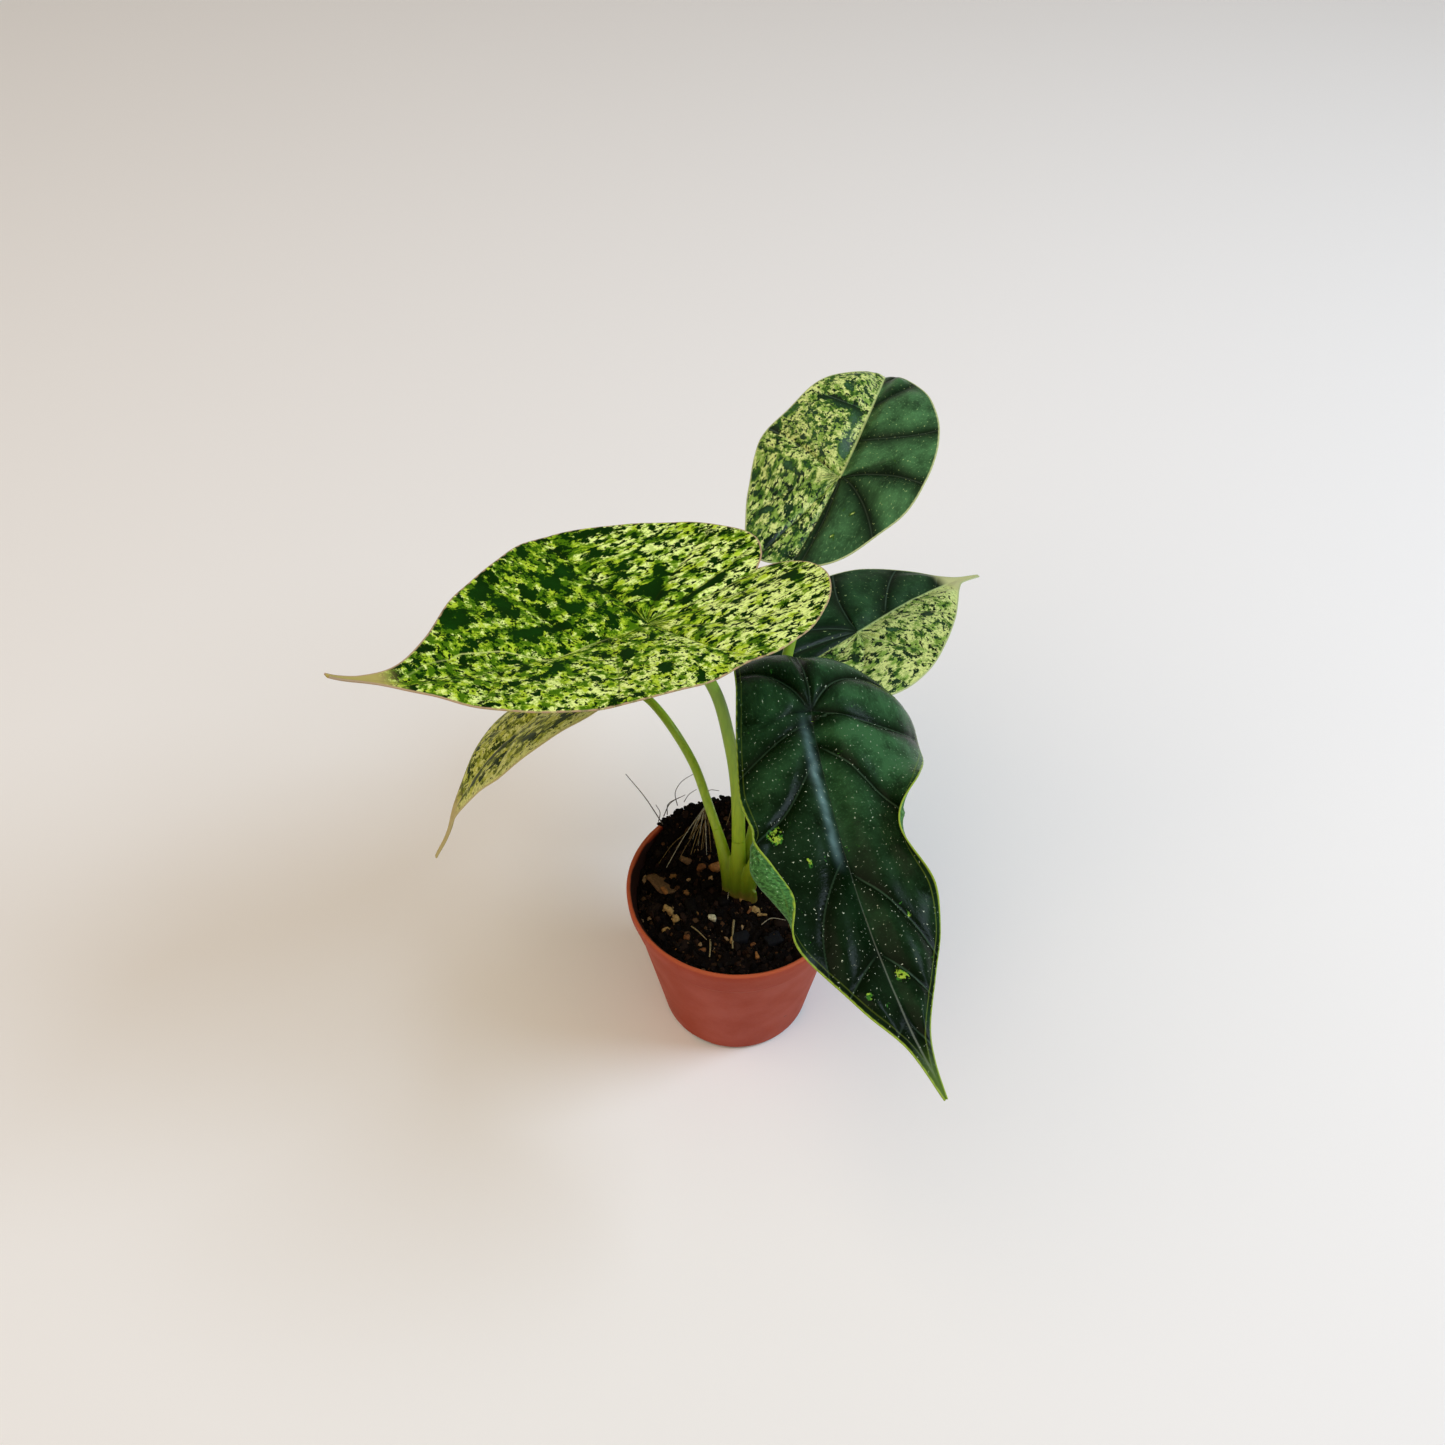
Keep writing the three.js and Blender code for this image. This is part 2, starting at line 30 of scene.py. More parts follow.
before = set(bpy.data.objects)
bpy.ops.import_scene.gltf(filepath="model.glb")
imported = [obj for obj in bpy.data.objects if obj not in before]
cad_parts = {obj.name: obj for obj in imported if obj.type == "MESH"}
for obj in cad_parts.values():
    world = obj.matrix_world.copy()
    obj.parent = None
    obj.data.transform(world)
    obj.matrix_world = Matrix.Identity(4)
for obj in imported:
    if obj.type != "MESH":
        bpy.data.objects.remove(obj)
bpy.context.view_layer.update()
mm = 0.001
print("frame loaded:", ", ".join(sorted(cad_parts)))


# Shared helpers
def linearColor(hexValue):
    channels = [int(hexValue[k:k + 2], 16) / 255 for k in (1, 3, 5)]
    return (*[c / 12.92 if c <= 0.04045 else ((c + 0.055) / 1.055) ** 2.4 for c in channels], 1.0)


def setInputs(tree, node, inputs):
    # An input takes a plain value, a socket, or a node, whose first output is then meant
    for name, value in inputs.items():
        if isinstance(value, bpy.types.Node):
            value = value.outputs[0]
        if isinstance(value, bpy.types.NodeSocket):
            tree.links.new(value, node.inputs[name])
        else:
            node.inputs[name].default_value = value


def addNode(tree, kind, inputs=None, **settings):
    node = tree.nodes.new(kind if "Node" in kind else f"ShaderNode{kind}")
    for name, value in settings.items():
        setattr(node, name, value)
    setInputs(tree, node, inputs or {})
    return node


def newMaterial(name, surface):
    material = bpy.data.materials.new(name)
    material.use_nodes = True
    tree = material.node_tree
    tree.nodes.clear()
    shader = addNode(tree, "BsdfPrincipled", surface)
    addNode(tree, "OutputMaterial", {"Surface": shader})
    return material, tree, shader


def layeredColor(tree, color, layers):
    # Lays colours over a first one: each one's share goes from 0 where its field is at the low bound to its
    # most at the high bound
    color = linearColor(color) if isinstance(color, str) else color
    for field, low, high, most, over in layers:
        share = addNode(tree, "MapRange", {0: field, 1: low, 2: high, 4: most})
        color = addNode(tree, "Mix", {0: share, 6: color, 7: linearColor(over)}, data_type="RGBA").outputs[2]
    return color


def newObject(name, data):
    thing = bpy.data.objects.new(name, data)
    bpy.context.scene.collection.objects.link(thing)
    return thing


def rawObject(name, points, faces):
    mesh = bpy.data.meshes.new(name)
    mesh.from_pydata(np.asarray(points, float) * mm, [], faces)
    return newObject(name, mesh)


def asPlainMesh(name, source, material=None):
    # What the modifiers make of a source object, as a plain mesh of its own
    graph = bpy.context.evaluated_depsgraph_get()
    mesh = bpy.data.meshes.new_from_object(source.evaluated_get(graph))
    mesh.name = name
    bpy.data.objects.remove(source)
    if material:
        mesh.materials.clear()
        mesh.materials.append(material)
    return newObject(name, mesh)


def newPiece(name, points, faces, material, node=None, slot=None):
    piece = rawObject(name, points, faces)
    piece.data.validate()
    piece.data.shade_smooth()
    piece.data.materials.append(material)
    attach(piece, "root")
    if node:
        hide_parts(node)
    return piece


def smooth(v):
    v = np.clip(v, 0, 1)
    return v * v * (3 - 2 * v)


def bell(v):
    return np.exp(-v ** 2)


def cosSin(degrees):
    return math.cos(math.radians(degrees)), math.sin(math.radians(degrees))


def between(at, known, rows):
    # The rows of a table, in between the places where they are known
    return np.stack([np.interp(at, known, rows[:, k]) for k in range(3)], -1)


def extended(points):
    # The points with one more at each end, straight on
    return np.vstack([2 * points[0] - points[1], points, 2 * points[-1] - points[-2]])


def lengthAlong(points):
    return np.concatenate([[0], np.cumsum(np.linalg.norm(np.diff(points, axis=0), axis=1))])


def storeField(piece, name, domain, values):
    field = piece.data.attributes.new(name, "FLOAT", domain)
    field.data.foreach_set("value", values.astype(np.float32))


def flatRing(radius, height, angles):
    return np.stack([radius * np.cos(angles), radius * np.sin(angles), np.full(len(angles), height)], -1)


def ringMesh(rings, ends):
    # Quads from ring to ring, closed by a fan of triangles at each end
    count, sides = len(rings), len(rings[0])
    faces = []
    for ring in range(count - 1):
        for k in range(sides):
            a, b = ring * sides + k, ring * sides + (k + 1) % sides
            faces.append([a, b, b + sides, a + sides])
    first, last, top = count * sides, count * sides + 1, (count - 1) * sides
    for k in range(sides):
        after = (k + 1) % sides
        faces += [[first, after, k], [last, top + k, top + after]]
    return np.vstack([*rings, *ends]), faces


def tubeMesh(centres, radii, sides):
    # A closed round tube whose rings turn as little as they can
    tangents = np.gradient(centres, axis=0)
    tangents /= np.linalg.norm(tangents, axis=1)[:, None]
    start = np.array([1.0, 0, 0]) if abs(tangents[0][0]) < 0.9 else np.array([0, 1.0, 0])
    angles = 2 * math.pi * np.arange(sides) / sides
    rings = []
    for centre, tangent, radius in zip(centres, tangents, np.broadcast_to(radii, len(centres))):
        start = start - tangent * (start @ tangent)
        start /= np.linalg.norm(start)
        other = np.cross(tangent, start)
        rings.append(centre + radius * (np.cos(angles)[:, None] * start + np.sin(angles)[:, None] * other))
    return ringMesh(rings, [centres[0], centres[-1]])


def latheMesh(profile, segments):
    # The profile starts and ends on the axis
    angles = 2 * math.pi * np.arange(segments) / segments
    rings = [flatRing(radius, height, angles) for radius, height in profile[1:-1]]
    return ringMesh(rings, [(0, 0, profile[0][1]), (0, 0, profile[-1][1])])


def joinedMesh(parts):
    points, faces, count = [], [], 0
    for part, partFaces in parts:
        points.append(part)
        faces += [[k + count for k in face] for face in partFaces]
        count += len(part)
    return np.vstack(points), faces


# Camera, floor and light
view = {"lens": 35.55, "sensor": 36, "eye": (-3.87, -231.38, 365.75), "target": (-3.87, 59.56, 51.57)}


def aim(thing, eye, target):
    thing.location = Vector(eye) * mm
    thing.rotation_euler = (Vector(target) - Vector(eye)).to_track_quat("-Z", "Y").to_euler()


camera = newObject("camera", bpy.data.cameras.new("camera"))
camera.data.lens, camera.data.sensor_width, camera.data.clip_end = view["lens"], view["sensor"], 10
aim(camera, view["eye"], view["target"])
bpy.context.scene.camera = camera

floorReach = 3000
paper, tree, shader = newMaterial("matt_paper_floor", {"Roughness": 0.9, "IOR": 1.45})
cloud = addNode(tree, "TexNoise", {"Scale": 4.0, "Detail": 3.0})
setInputs(tree, shader, {"Base Color": layeredColor(tree, "#f0efee", [(cloud, 0, 1, 1, "#f8f7f6")])})
corners = [(x * floorReach, y * floorReach, 0) for x, y in ((-1, -1), (1, -1), (1, 1), (-1, 1))]
floor = newPiece("floor", corners, [(0, 1, 2, 3)], paper)

# A cool window to the right, a warm room to the left, and their light off the walls
lamps = {
    "window": {"at": (880, -30, 950), "size": 600, "watts": 9.9, "color": "#d6eaff"},
    "room": {"at": (-600, -350, 1300), "size": 1500, "watts": 9.4, "color": "#ffe8cc"},
}
lampTarget = (0, 20, 70)
walls = {"color": "#fff5e8", "front": 0.38, "back": 0.3, "blend": 0.6}

for name, lamp in lamps.items():
    light = bpy.data.lights.new(name, "AREA")
    light.shape = "DISK"
    light.size = lamp["size"] * mm
    light.energy = lamp["watts"]
    light.color = linearColor(lamp["color"])[:3]
    aim(newObject(name, light), lamp["at"], lampTarget)

world = bpy.data.worlds.new("studio")
bpy.context.scene.world = world
world.use_nodes = True
tree = world.node_tree
toward = addNode(tree, "SeparateXYZ", {0: addNode(tree, "TexCoord").outputs["Generated"]}).outputs[1]
dimmer = addNode(tree, "MapRange", {0: toward, 1: -walls["blend"], 2: walls["blend"], 3: walls["front"],
                                    4: walls["back"]})
setInputs(tree, tree.nodes["Background"], {0: linearColor(walls["color"]), 1: dimmer})
bpy.context.scene.view_settings.view_transform = "Standard"
print("camera, floor and lights made")


# Leaves
# Flat, x runs from the stalk's joint to the drip tip and y runs outwards. Each half outline goes from the
# notch between the two back lobes to the tip. The midrib leaves the joint at a heading, a pitch and a
# roll, then droops and sways; each half folds up along it and curls towards its margin. A side vein is given
# by its place along the midrib and along the margin, in hundredths.
blade = {
    "rows": 240, "columns": 40, "crowding": 0.1, "stations": 81, "foldSteps": 14,
    "outlineSteps": 321, "widthSteps": 201,
    "thick": 0.62, "edgeThick": 0.34, "edgeBulge": 0.12, "bevel": 1.6, "flatEdge": 3,
    "sweep": 1.25, "rootLead": 0.5, "fullPanel": 10, "valleyWidth": 0.7, "channel": 0.35,
    "midrib": 0.9, "midribWidth": 0.9, "sideRib": 0.4, "sideRibWidth": 0.5,
    "pucker": 0.16, "puckerSize": 6, "wave": 0.66, "waveSize": 11, "waveReach": 7,
    "markAcross": 0.8, "markAlong": 0.5, "fanOut": 9, "fanBlend": 8, "lobeStretch": 2.2,
}
# What a leaf has where its own entry says nothing else
usualLeaf = {"droopPower": 1.5, "tipLift": 0, "tipSway": 0, "rollUps": ((), ()),
             "midribBend": ((0, 0), (1, 0))}

leaves = {
    "left": {
        "joint": (-21, 8, 141), "heading": 221, "pitch": 11, "roll": 13,
        "droop": -20, "lobeDroop": -17, "fold": (7, 7), "curl": (-4, 14),
        "sway": -15, "tipLift": 18, "tipSway": 20, "twist": -13,
        "quilt": 0.7, "valley": 0.3, "groove": (0.5, 3.2), "halfWidth": 34,
        "veins": (((12, 12), (35, 25), (43, 40), (52, 53), (62, 65), (74, 77), (86, 88)),
                  ((12, 12), (26, 24), (39, 42), (54, 52), (64, 66), (76, 78), (87, 89))),
        "midribBend": ((18, 0), (27, 1.5), (37, -5), (46, -6.5), (56, -4), (64, 0)),
        "outlines": (
            ((-34, 0), (-39.5, 4), (-42.5, 11), (-40, 20), (-30, 29), (-14, 34.5), (5, 34.2), (22, 30.4),
             (39, 23.5), (52, 14.6), (60, 7.1), (66, 2.7), (72, 1.1), (76.5, 0.85), (80.8, 0.7)),
            ((-34, 0), (-39, 4), (-42, 10), (-40, 17), (-31, 27), (-14, 36), (5, 38.8), (22, 33),
             (39, 24), (52, 12.6), (60, 6.2), (66, 2.8), (72, 1.1), (76.5, 0.85), (80.8, 0.7)),
        ),
    },
    "top": {
        "joint": (27, 71, 134.5), "heading": 63, "pitch": 26, "roll": -8,
        "droop": 83, "droopPower": 1.8, "lobeDroop": -32, "fold": (10, 14), "curl": (-10, 0),
        "sway": 22, "tipLift": 8, "twist": 21,
        "quilt": 1.2, "valley": 0.3, "groove": (0.8, 3.2), "halfWidth": 25,
        "veins": (((20, 20), (40, 36), (56, 53), (70, 64), (83, 84)),
                  ((14, 10), (39, 35), (53, 48), (63, 59), (71, 76), (83, 86))),
        "outlines": (
            ((-30, 0), (-33, 2.5), (-34, 7), (-31, 12.5), (-23, 16.8), (-11, 21.8), (3, 25), (15, 20.6),
             (26, 16), (34, 10), (40, 5.5), (45, 2.6), (54, 0.4)),
            ((-30, 0), (-32, 2), (-33, 6.5), (-30.5, 12.5), (-23, 18.2), (-10, 24.6), (3, 26.1), (15, 22.6),
             (26, 16), (34, 10), (40, 5), (45, 2), (54, 0.4)),
        ),
    },
    "right": {
        "joint": (32.6, 47.3, 100.8), "heading": 44, "pitch": -3, "roll": -1,
        "droop": 20, "lobeDroop": -4, "fold": (7, 5), "curl": (-10, -12),
        "sway": -6, "twist": -4,
        "quilt": 0.8, "valley": 0.2, "groove": (0.6, 3.2), "halfWidth": 22,
        "veins": (((14, 14), (30, 27), (53, 57), (63, 71), (80, 83)),
                  ((14, 14), (34, 30), (53, 55), (64, 70), (80, 83))),
        "outlines": (
            ((-22, 0), (-26, 3), (-27.5, 8), (-26, 14), (-19, 19.5), (-9, 22.5), (3, 22.5), (14, 20.5),
             (24, 15), (32, 9), (38, 4), (43, 1.4), (51.5, 0.4)),
            ((-22, 0), (-26, 3), (-27.5, 8), (-26, 14), (-19, 20), (-9, 23.2), (3, 22.8), (14, 19.1),
             (24, 14), (32, 8.5), (38, 4), (43, 1.4), (51.5, 0.4)),
        ),
    },
    "front": {
        "joint": (17.2, -3.2, 125), "heading": -81.5, "pitch": -8, "roll": -8,
        "droop": 14, "lobeDroop": 69, "fold": (-3, -3), "curl": (-43, -36),
        "sway": 15.5, "tipSway": 6, "twist": -4,
        "quilt": 1.25, "valley": 0.32, "groove": (3.4, 4.2), "halfWidth": 30,
        "veins": (((10, 30), (45, 38), (48, 56), (70, 77), (80, 83), (89, 91)),
                  ((20, 33), (45, 48), (49, 64), (68, 80), (80, 83), (89, 91))),
        "rollUps": (({"at": 35, "span": 15.5, "angle": 150, "start": 0.4},),
                    ({"at": 44.5, "span": 12, "angle": 215, "start": 0.56},)),
        "outlines": (
            ((-23, 0), (-28.5, 5), (-30.5, 13), (-28, 22.5), (-20, 29.5), (-8, 33.6), (6, 31.5), (19, 22.6),
             (31, 19), (41, 16.6), (50, 17.4), (60, 16.2), (70, 11), (79, 5), (87, 2), (95, 0.4)),
            ((-23, 0), (-27.5, 3), (-29, 8), (-26.5, 12.5), (-20, 15.5), (-8, 17), (8, 19.5), (20, 21),
             (31, 21.4), (41, 31), (53, 23), (64, 14.3), (74, 8.2), (83, 2.6), (95, 0.4)),
        ),
    },
    "low": {
        "joint": (-29, 35.6, 97.3), "heading": 205, "pitch": -4, "roll": 35,
        "droop": 77, "lobeDroop": 5, "fold": (5, 2), "curl": (-5, -15),
        "sway": 20, "tipLift": 26, "tipSway": -5, "twist": -8,
        "quilt": 0.6, "valley": 0.2, "groove": (0.3, 3.2), "halfWidth": 32,
        "veins": (((12, 12), (28, 25), (42, 41), (53, 54), (64, 66), (76, 78), (87, 88)),) * 2,
        "outlines": (
            ((-16, 0), (-21, 4), (-24, 10), (-22, 18), (-16, 25), (-7, 29), (5, 30), (21, 27.4),
             (37, 22.4), (48, 13.6), (56, 6.8), (62, 3), (69, 1.3), (77, 0.5)),
            ((-16, 0), (-21, 4), (-24, 10), (-22, 18), (-16, 25), (-7, 29.5), (5, 31), (21, 28),
             (37, 21), (48, 12.5), (56, 6), (62, 2.4), (69, 1), (77, 0.4)),
        ),
    },
}
leaves = {name: {**usualLeaf, **leaf} for name, leaf in leaves.items()}


def alongPoints(points, u):
    # A Catmull-Rom curve through the points, at shares of their count
    points = np.asarray(points, float)
    spans = len(points) - 1
    span = np.minimum((u * spans).astype(int), spans - 1)
    f = (u * spans - span)[:, None]
    padded = extended(points)
    a, b, c, d = (padded[span + k] for k in range(4))
    return 0.5 * (2 * b + (c - a) * f + (2 * a - 5 * b + 4 * c - d) * f ** 2
                  + (3 * b - a - 3 * c + d) * f ** 3)


def midribStations(leaf):
    tipX = leaf["outlines"][0][-1][0]
    lobeX = -min(x for outline in leaf["outlines"] for x, y in outline)
    x = np.linspace(-1.05 * lobeX, 1.02 * tipX, blade["stations"])
    ahead, behind = np.maximum(x / tipX, 0), np.maximum(-x / lobeX, 0)
    nearTip = smooth((ahead - 0.8) / 0.2)
    pitch = np.radians(leaf["pitch"] - leaf["droop"] * ahead ** leaf["droopPower"]
                       + leaf["lobeDroop"] * behind ** 1.2 + leaf["tipLift"] * nearTip)
    yaw = np.radians(leaf["heading"] + leaf["sway"] * ahead ** 1.5 + leaf["tipSway"] * nearTip)
    roll = np.radians(leaf["roll"] + leaf["twist"] * ahead)[:, None]
    forward = np.stack([np.cos(pitch) * np.cos(yaw), np.cos(pitch) * np.sin(yaw), np.sin(pitch)], -1)
    level = np.stack([-np.sin(yaw), np.cos(yaw), 0 * yaw], -1)
    side = level * np.cos(roll) + np.cross(forward, level) * np.sin(roll)
    steps = (forward[1:] + forward[:-1]) / 2 * np.diff(x)[:, None]
    place = np.vstack([np.zeros(3), np.cumsum(steps, 0)])
    return {"x": x, "place": place - between(0, x, place) + leaf["joint"], "side": side,
            "up": np.cross(forward, side)}


def bladePoints(leaf, stations, side, x, y):
    curve = alongPoints(leaf["outlines"][side], np.linspace(0, 1, blade["widthSteps"]))
    curve = curve[curve[:, 0].argmin():]
    width = np.interp(x, curve[:, 0], np.maximum(curve[:, 1], 0.5))
    steps = blade["foldSteps"]
    reach = y[..., None] * (np.arange(steps) + 0.5) / steps
    angle = leaf["fold"][side] + leaf["curl"][side] * (np.maximum(reach, 0) / leaf["halfWidth"]) ** 1.2
    for rollUp in leaf["rollUps"][side]:
        near = bell((x - rollUp["at"]) / rollUp["span"])[..., None]
        turned = smooth((reach / width[..., None] - rollUp["start"]) / (1 - rollUp["start"]))
        angle = angle + rollUp["angle"] * near * turned
    across, rise = ((turn(np.radians(angle)).mean(-1) * y)[..., None] for turn in (np.cos, np.sin))
    sign = 1 if side == 0 else -1
    at, out, up = (between(x, stations["x"], stations[key]) for key in ("place", "side", "up"))
    return at + sign * across * out + rise * up


def bladeHalf(leaf, stations, side, ends, roots):
    # Rows leave the joint and the midrib as the veins do. Columns are closer by the midrib and the margin.
    u = np.linspace(0, 1, blade["rows"] + 1)
    q = np.linspace(0, 1, blade["columns"] + 1)
    t = q - blade["crowding"] * np.sin(2 * math.pi * q)
    x = roots[:, None] + (ends[:, :1] - roots[:, None]) * t ** blade["sweep"]
    y = ends[:, 1:] * t
    place = bladePoints(leaf, stations, side, x, y)
    reach = np.hypot(x - roots[:, None], y)
    # A side vein runs from its row at the midrib to its row at the margin
    veins = np.array(leaf["veins"][side]) / 100
    panel = np.zeros(x.shape)
    for column, share in enumerate(t):
        stops = [0, *(veins[:, 0] + (veins[:, 1] - veins[:, 0]) * share), 1]
        panel[:, column] = np.interp(u, stops, np.arange(len(stops)))
    # How many millimetres one panel spans here, from the surface's own metric
    alongRow, alongColumn = np.gradient(place, u, axis=0), np.gradient(place, q, axis=1)
    panelRow, panelColumn = np.gradient(panel, u, axis=0), np.gradient(panel, q, axis=1)
    e, f, g = ((a * b).sum(-1) for a, b in
               ((alongRow, alongRow), (alongRow, alongColumn), (alongColumn, alongColumn)))
    area = np.maximum(e * g - f * f, 1e-6)
    slope = (panelRow ** 2 * g - 2 * panelRow * panelColumn * f + panelColumn ** 2 * e) / area
    panelSize = np.minimum(1 / np.sqrt(np.maximum(slope, 1e-4)), 40)
    phase = panel - np.floor(panel)
    veinDistance = np.minimum(phase, 1 - phase) * panelSize
    outline = alongPoints(leaf["outlines"][side], np.linspace(0, 1, blade["outlineSteps"]))
    flat = np.stack([x, y], -1).reshape(-1, 1, 2)
    edge = np.sqrt(((flat - outline[None]) ** 2).sum(-1).min(1)).reshape(x.shape)
    midline = (y if side == 0 else -y) - np.interp(x, *zip(*leaf["midribBend"]))
    inside, toTip = smooth(edge / blade["flatEdge"]), 1 - u[:, None]
    midribShape = bell(midline / blade["midribWidth"])
    full = np.minimum(1, panelSize / blade["fullPanel"]) * smooth(reach / 5)
    lift = leaf["quilt"] * full * np.sin(math.pi * phase) ** 0.8 * inside * smooth((1 - t) * 3)
    lift -= leaf["valley"] * bell(veinDistance / blade["valleyWidth"]) * inside * smooth(reach / 4)
    lift -= blade["channel"] * midribShape * smooth(x / 4 + 0.5) * toTip
    deepest = smooth(x / 12 + 0.6) * smooth(toTip * 3) * inside
    lift -= leaf["groove"][0] * bell(midline / leaf["groove"][1]) * deepest
    rib = blade["sideRib"] * bell(veinDistance / blade["sideRibWidth"]) * (1 - 0.7 * t) * inside
    midrib = blade["midrib"] * midribShape * (x > -0.01) * (1 - 0.8 * u[:, None])
    rib = np.maximum(rib * (u[:, None] > 0.03), midrib)
    return {"x": x, "y": y, "reach": reach, "panel": panel, "panelSize": panelSize, "edge": edge, "rib": rib,
            "lift": lift, "place": place, "midline": midline, "side": np.full(x.shape, float(side)),
            "along": lengthAlong(ends)[:, None] * np.ones(len(t)),
            "drawnOut": smooth((blade["fanOut"] - np.hypot(x, y)) / blade["fanBlend"])}


def bladeGrid(leaf):
    ends = [alongPoints(outline, np.linspace(0, 1, blade["rows"] + 1)) for outline in leaf["outlines"]]
    mean = (ends[0] + ends[1]) / 2
    roots = np.maximum(0, mean[:, 0] - blade["rootLead"] * mean[:, 1])
    stations = midribStations(leaf)
    halves = [bladeHalf(leaf, stations, side, ends[side], roots) for side in (0, 1)]
    return {"roots": roots, **{name: np.stack([half[name] for half in halves]) for name in halves[0]}}


def bladeMesh(leaf, grid):
    rows, columns = blade["rows"], blade["columns"]
    own = np.arange(2 * (rows + 1) * (columns + 1)).reshape(2, rows + 1, columns + 1)
    same = own.copy()
    same[1, 0, :] = own[0, 0, :]
    same[1, :, 0] = own[0, :, 0]
    same[:, grid["roots"] == 0, 0] = own[0, 0, 0]
    kept, points = np.unique(same, return_inverse=True)
    points = points.reshape(-1)
    quads = [own[:, :-1, :-1], own[:, 1:, :-1], own[:, 1:, 1:], own[:, :-1, 1:]]
    quads = np.stack(quads, -1).reshape(2, -1, 4)
    quads = np.vstack([quads[0], quads[1, :, ::-1]])
    place = grid["place"].reshape(-1, 3)[kept]
    corner = place[points[quads]]
    normal = np.cross(corner[:, 2] - corner[:, 0], corner[:, 3] - corner[:, 1])
    normals = np.zeros_like(place)
    for k in range(4):
        np.add.at(normals, points[quads[:, k]], normal)
    normals /= np.linalg.norm(normals, axis=1)[:, None]

    lift, rib, edge = (grid[name].reshape(-1)[kept] for name in ("lift", "rib", "edge"))
    seed = Vector(leaf["joint"])
    puckers = np.array([noise.fractal(Vector(p) / blade["puckerSize"] + seed, 1.0, 2.0, 2) for p in place])
    waves = np.array([noise.noise(Vector(p) / blade["waveSize"] - seed) for p in place])
    lift = lift + blade["pucker"] * puckers * smooth(edge / blade["flatEdge"])
    lift += blade["wave"] * waves * smooth(1 - edge / blade["waveReach"])
    half = (blade["edgeThick"] + (blade["thick"] - blade["edgeThick"]) * smooth(edge / blade["bevel"])) / 2
    upper = place + normals * (lift + half)[:, None]
    lower = place + normals * (lift - half - rib)[:, None]

    count = len(kept)
    faces, sources = [], []
    for quad in quads.tolist():
        ids = [int(points[k]) for k in quad]
        keep = [n for n in range(4) if ids[n] != ids[n - 1]]
        ids, quad = [ids[n] for n in keep], [quad[n] for n in keep]
        if len(ids) > 2:
            faces += [ids, [k + count for k in reversed(ids)]]
            sources += [quad, quad[::-1]]
    # The rounded margin, all round the blade
    directed = {}
    for face, source in list(zip(faces, sources))[::2]:
        for n in range(len(face)):
            directed[(face[n - 1], face[n])] = (source[n - 1], source[n])
    rim = {pair: source for pair, source in directed.items() if pair[::-1] not in directed}
    following = dict(rim.keys())
    before = {b: a for a, b in following.items()}
    middles, edgePoints = {}, []
    for k in following:
        outward = np.cross(place[following[k]] - place[before[k]], normals[k])
        outward /= np.linalg.norm(outward)
        middles[k] = 2 * count + len(edgePoints)
        edgePoints.append(place[k] + normals[k] * lift[k] + outward * blade["edgeBulge"])
    for (a, b), (sourceA, sourceB) in rim.items():
        faces += [[b, a, middles[a], middles[b]], [middles[b], middles[a], a + count, b + count]]
        sources += [[sourceB, sourceA, sourceA, sourceB]] * 2
    isUnder = np.repeat([0, 1, 0.5], [count, count, len(edgePoints)])
    return np.vstack([upper, lower, edgePoints]), faces, np.concatenate(sources), isUnder


# What each kind of blade looks like: its colours, how glossy and rough its skin is, from what height of the
# finest pattern it has pale specks, and how strongly the pale line inside its margin shows
leafLooks = {
    "mottled": {"lime": "#b8d238", "pale": "#e8f896", "fresh": "#7ca018", "green": "#426c08",
                "deep": "#0b2802", "glow": "#123f08", "vein": "#1d2b06", "margin": "#b59a78",
                "under": "#b7c089", "tip": "#b3a55e", "speck": "#dfe88c",
                "gloss": 0.03, "rough": 0.48, "speckFrom": 1.0, "hem": 0.0},
    "half": {"lime": "#8aac4c", "pale": "#d6e28c", "fresh": "#6c8c34", "green": "#2c541a",
             "deep": "#091c0a", "glow": "#4e8050", "vein": "#7d9a80", "margin": "#b9c48c",
             "under": "#a9b98a", "tip": "#c9c98c", "speck": "#c4d890",
             "gloss": 0.12, "rough": 0.34, "speckFrom": 0.7, "hem": 0.0},
    "dark": {"lime": "#8fae34", "pale": "#a8c044", "fresh": "#5f9030", "green": "#2f6a24",
             "deep": "#041002", "glow": "#36603a", "vein": "#5f8060", "margin": "#93ac3c",
             "under": "#5c9c52", "tip": "#4f6a1e", "speck": "#e2ecd0",
             "gloss": 0.06, "rough": 0.25, "speckFrom": 0.702, "hem": 1.0},
    "olive": {"lime": "#b8bc44", "pale": "#d4d884", "fresh": "#88962a", "green": "#56601a",
              "deep": "#1e3006", "glow": "#3a4a1c", "vein": "#55582e", "margin": "#c0b47e",
              "under": "#a8a478", "tip": "#b9aa72", "speck": "#c8c484",
              "gloss": 0.06, "rough": 0.5, "speckFrom": 1.0, "hem": 0.0},
}
paintedSheenColor = "#86a8a6"  # painted highlight: the window light's bluish sheen beside a midrib
# Each pattern's size in millimetres, its detail and its roughness
leafPatterns = {"pale": (3.0, 4, 0.68), "fine": (1.25, 4, 0.62), "middle": (2.5, 6, 0.68),
                "broad": (4.0, 6, 0.68), "wash": (8.0, 2, 0.68), "freckle": (0.8, 3, 0.68)}
drawnPatterns = ("pale", "fine", "middle", "broad")
leafAttributes = ("panel", "panelSize", "edge", "reach", "midline", "cover", "fleck", "veinShow",
                  "midribShow", "glowShow", "tipShare", "under", "drawnOut", "paintedSheen")
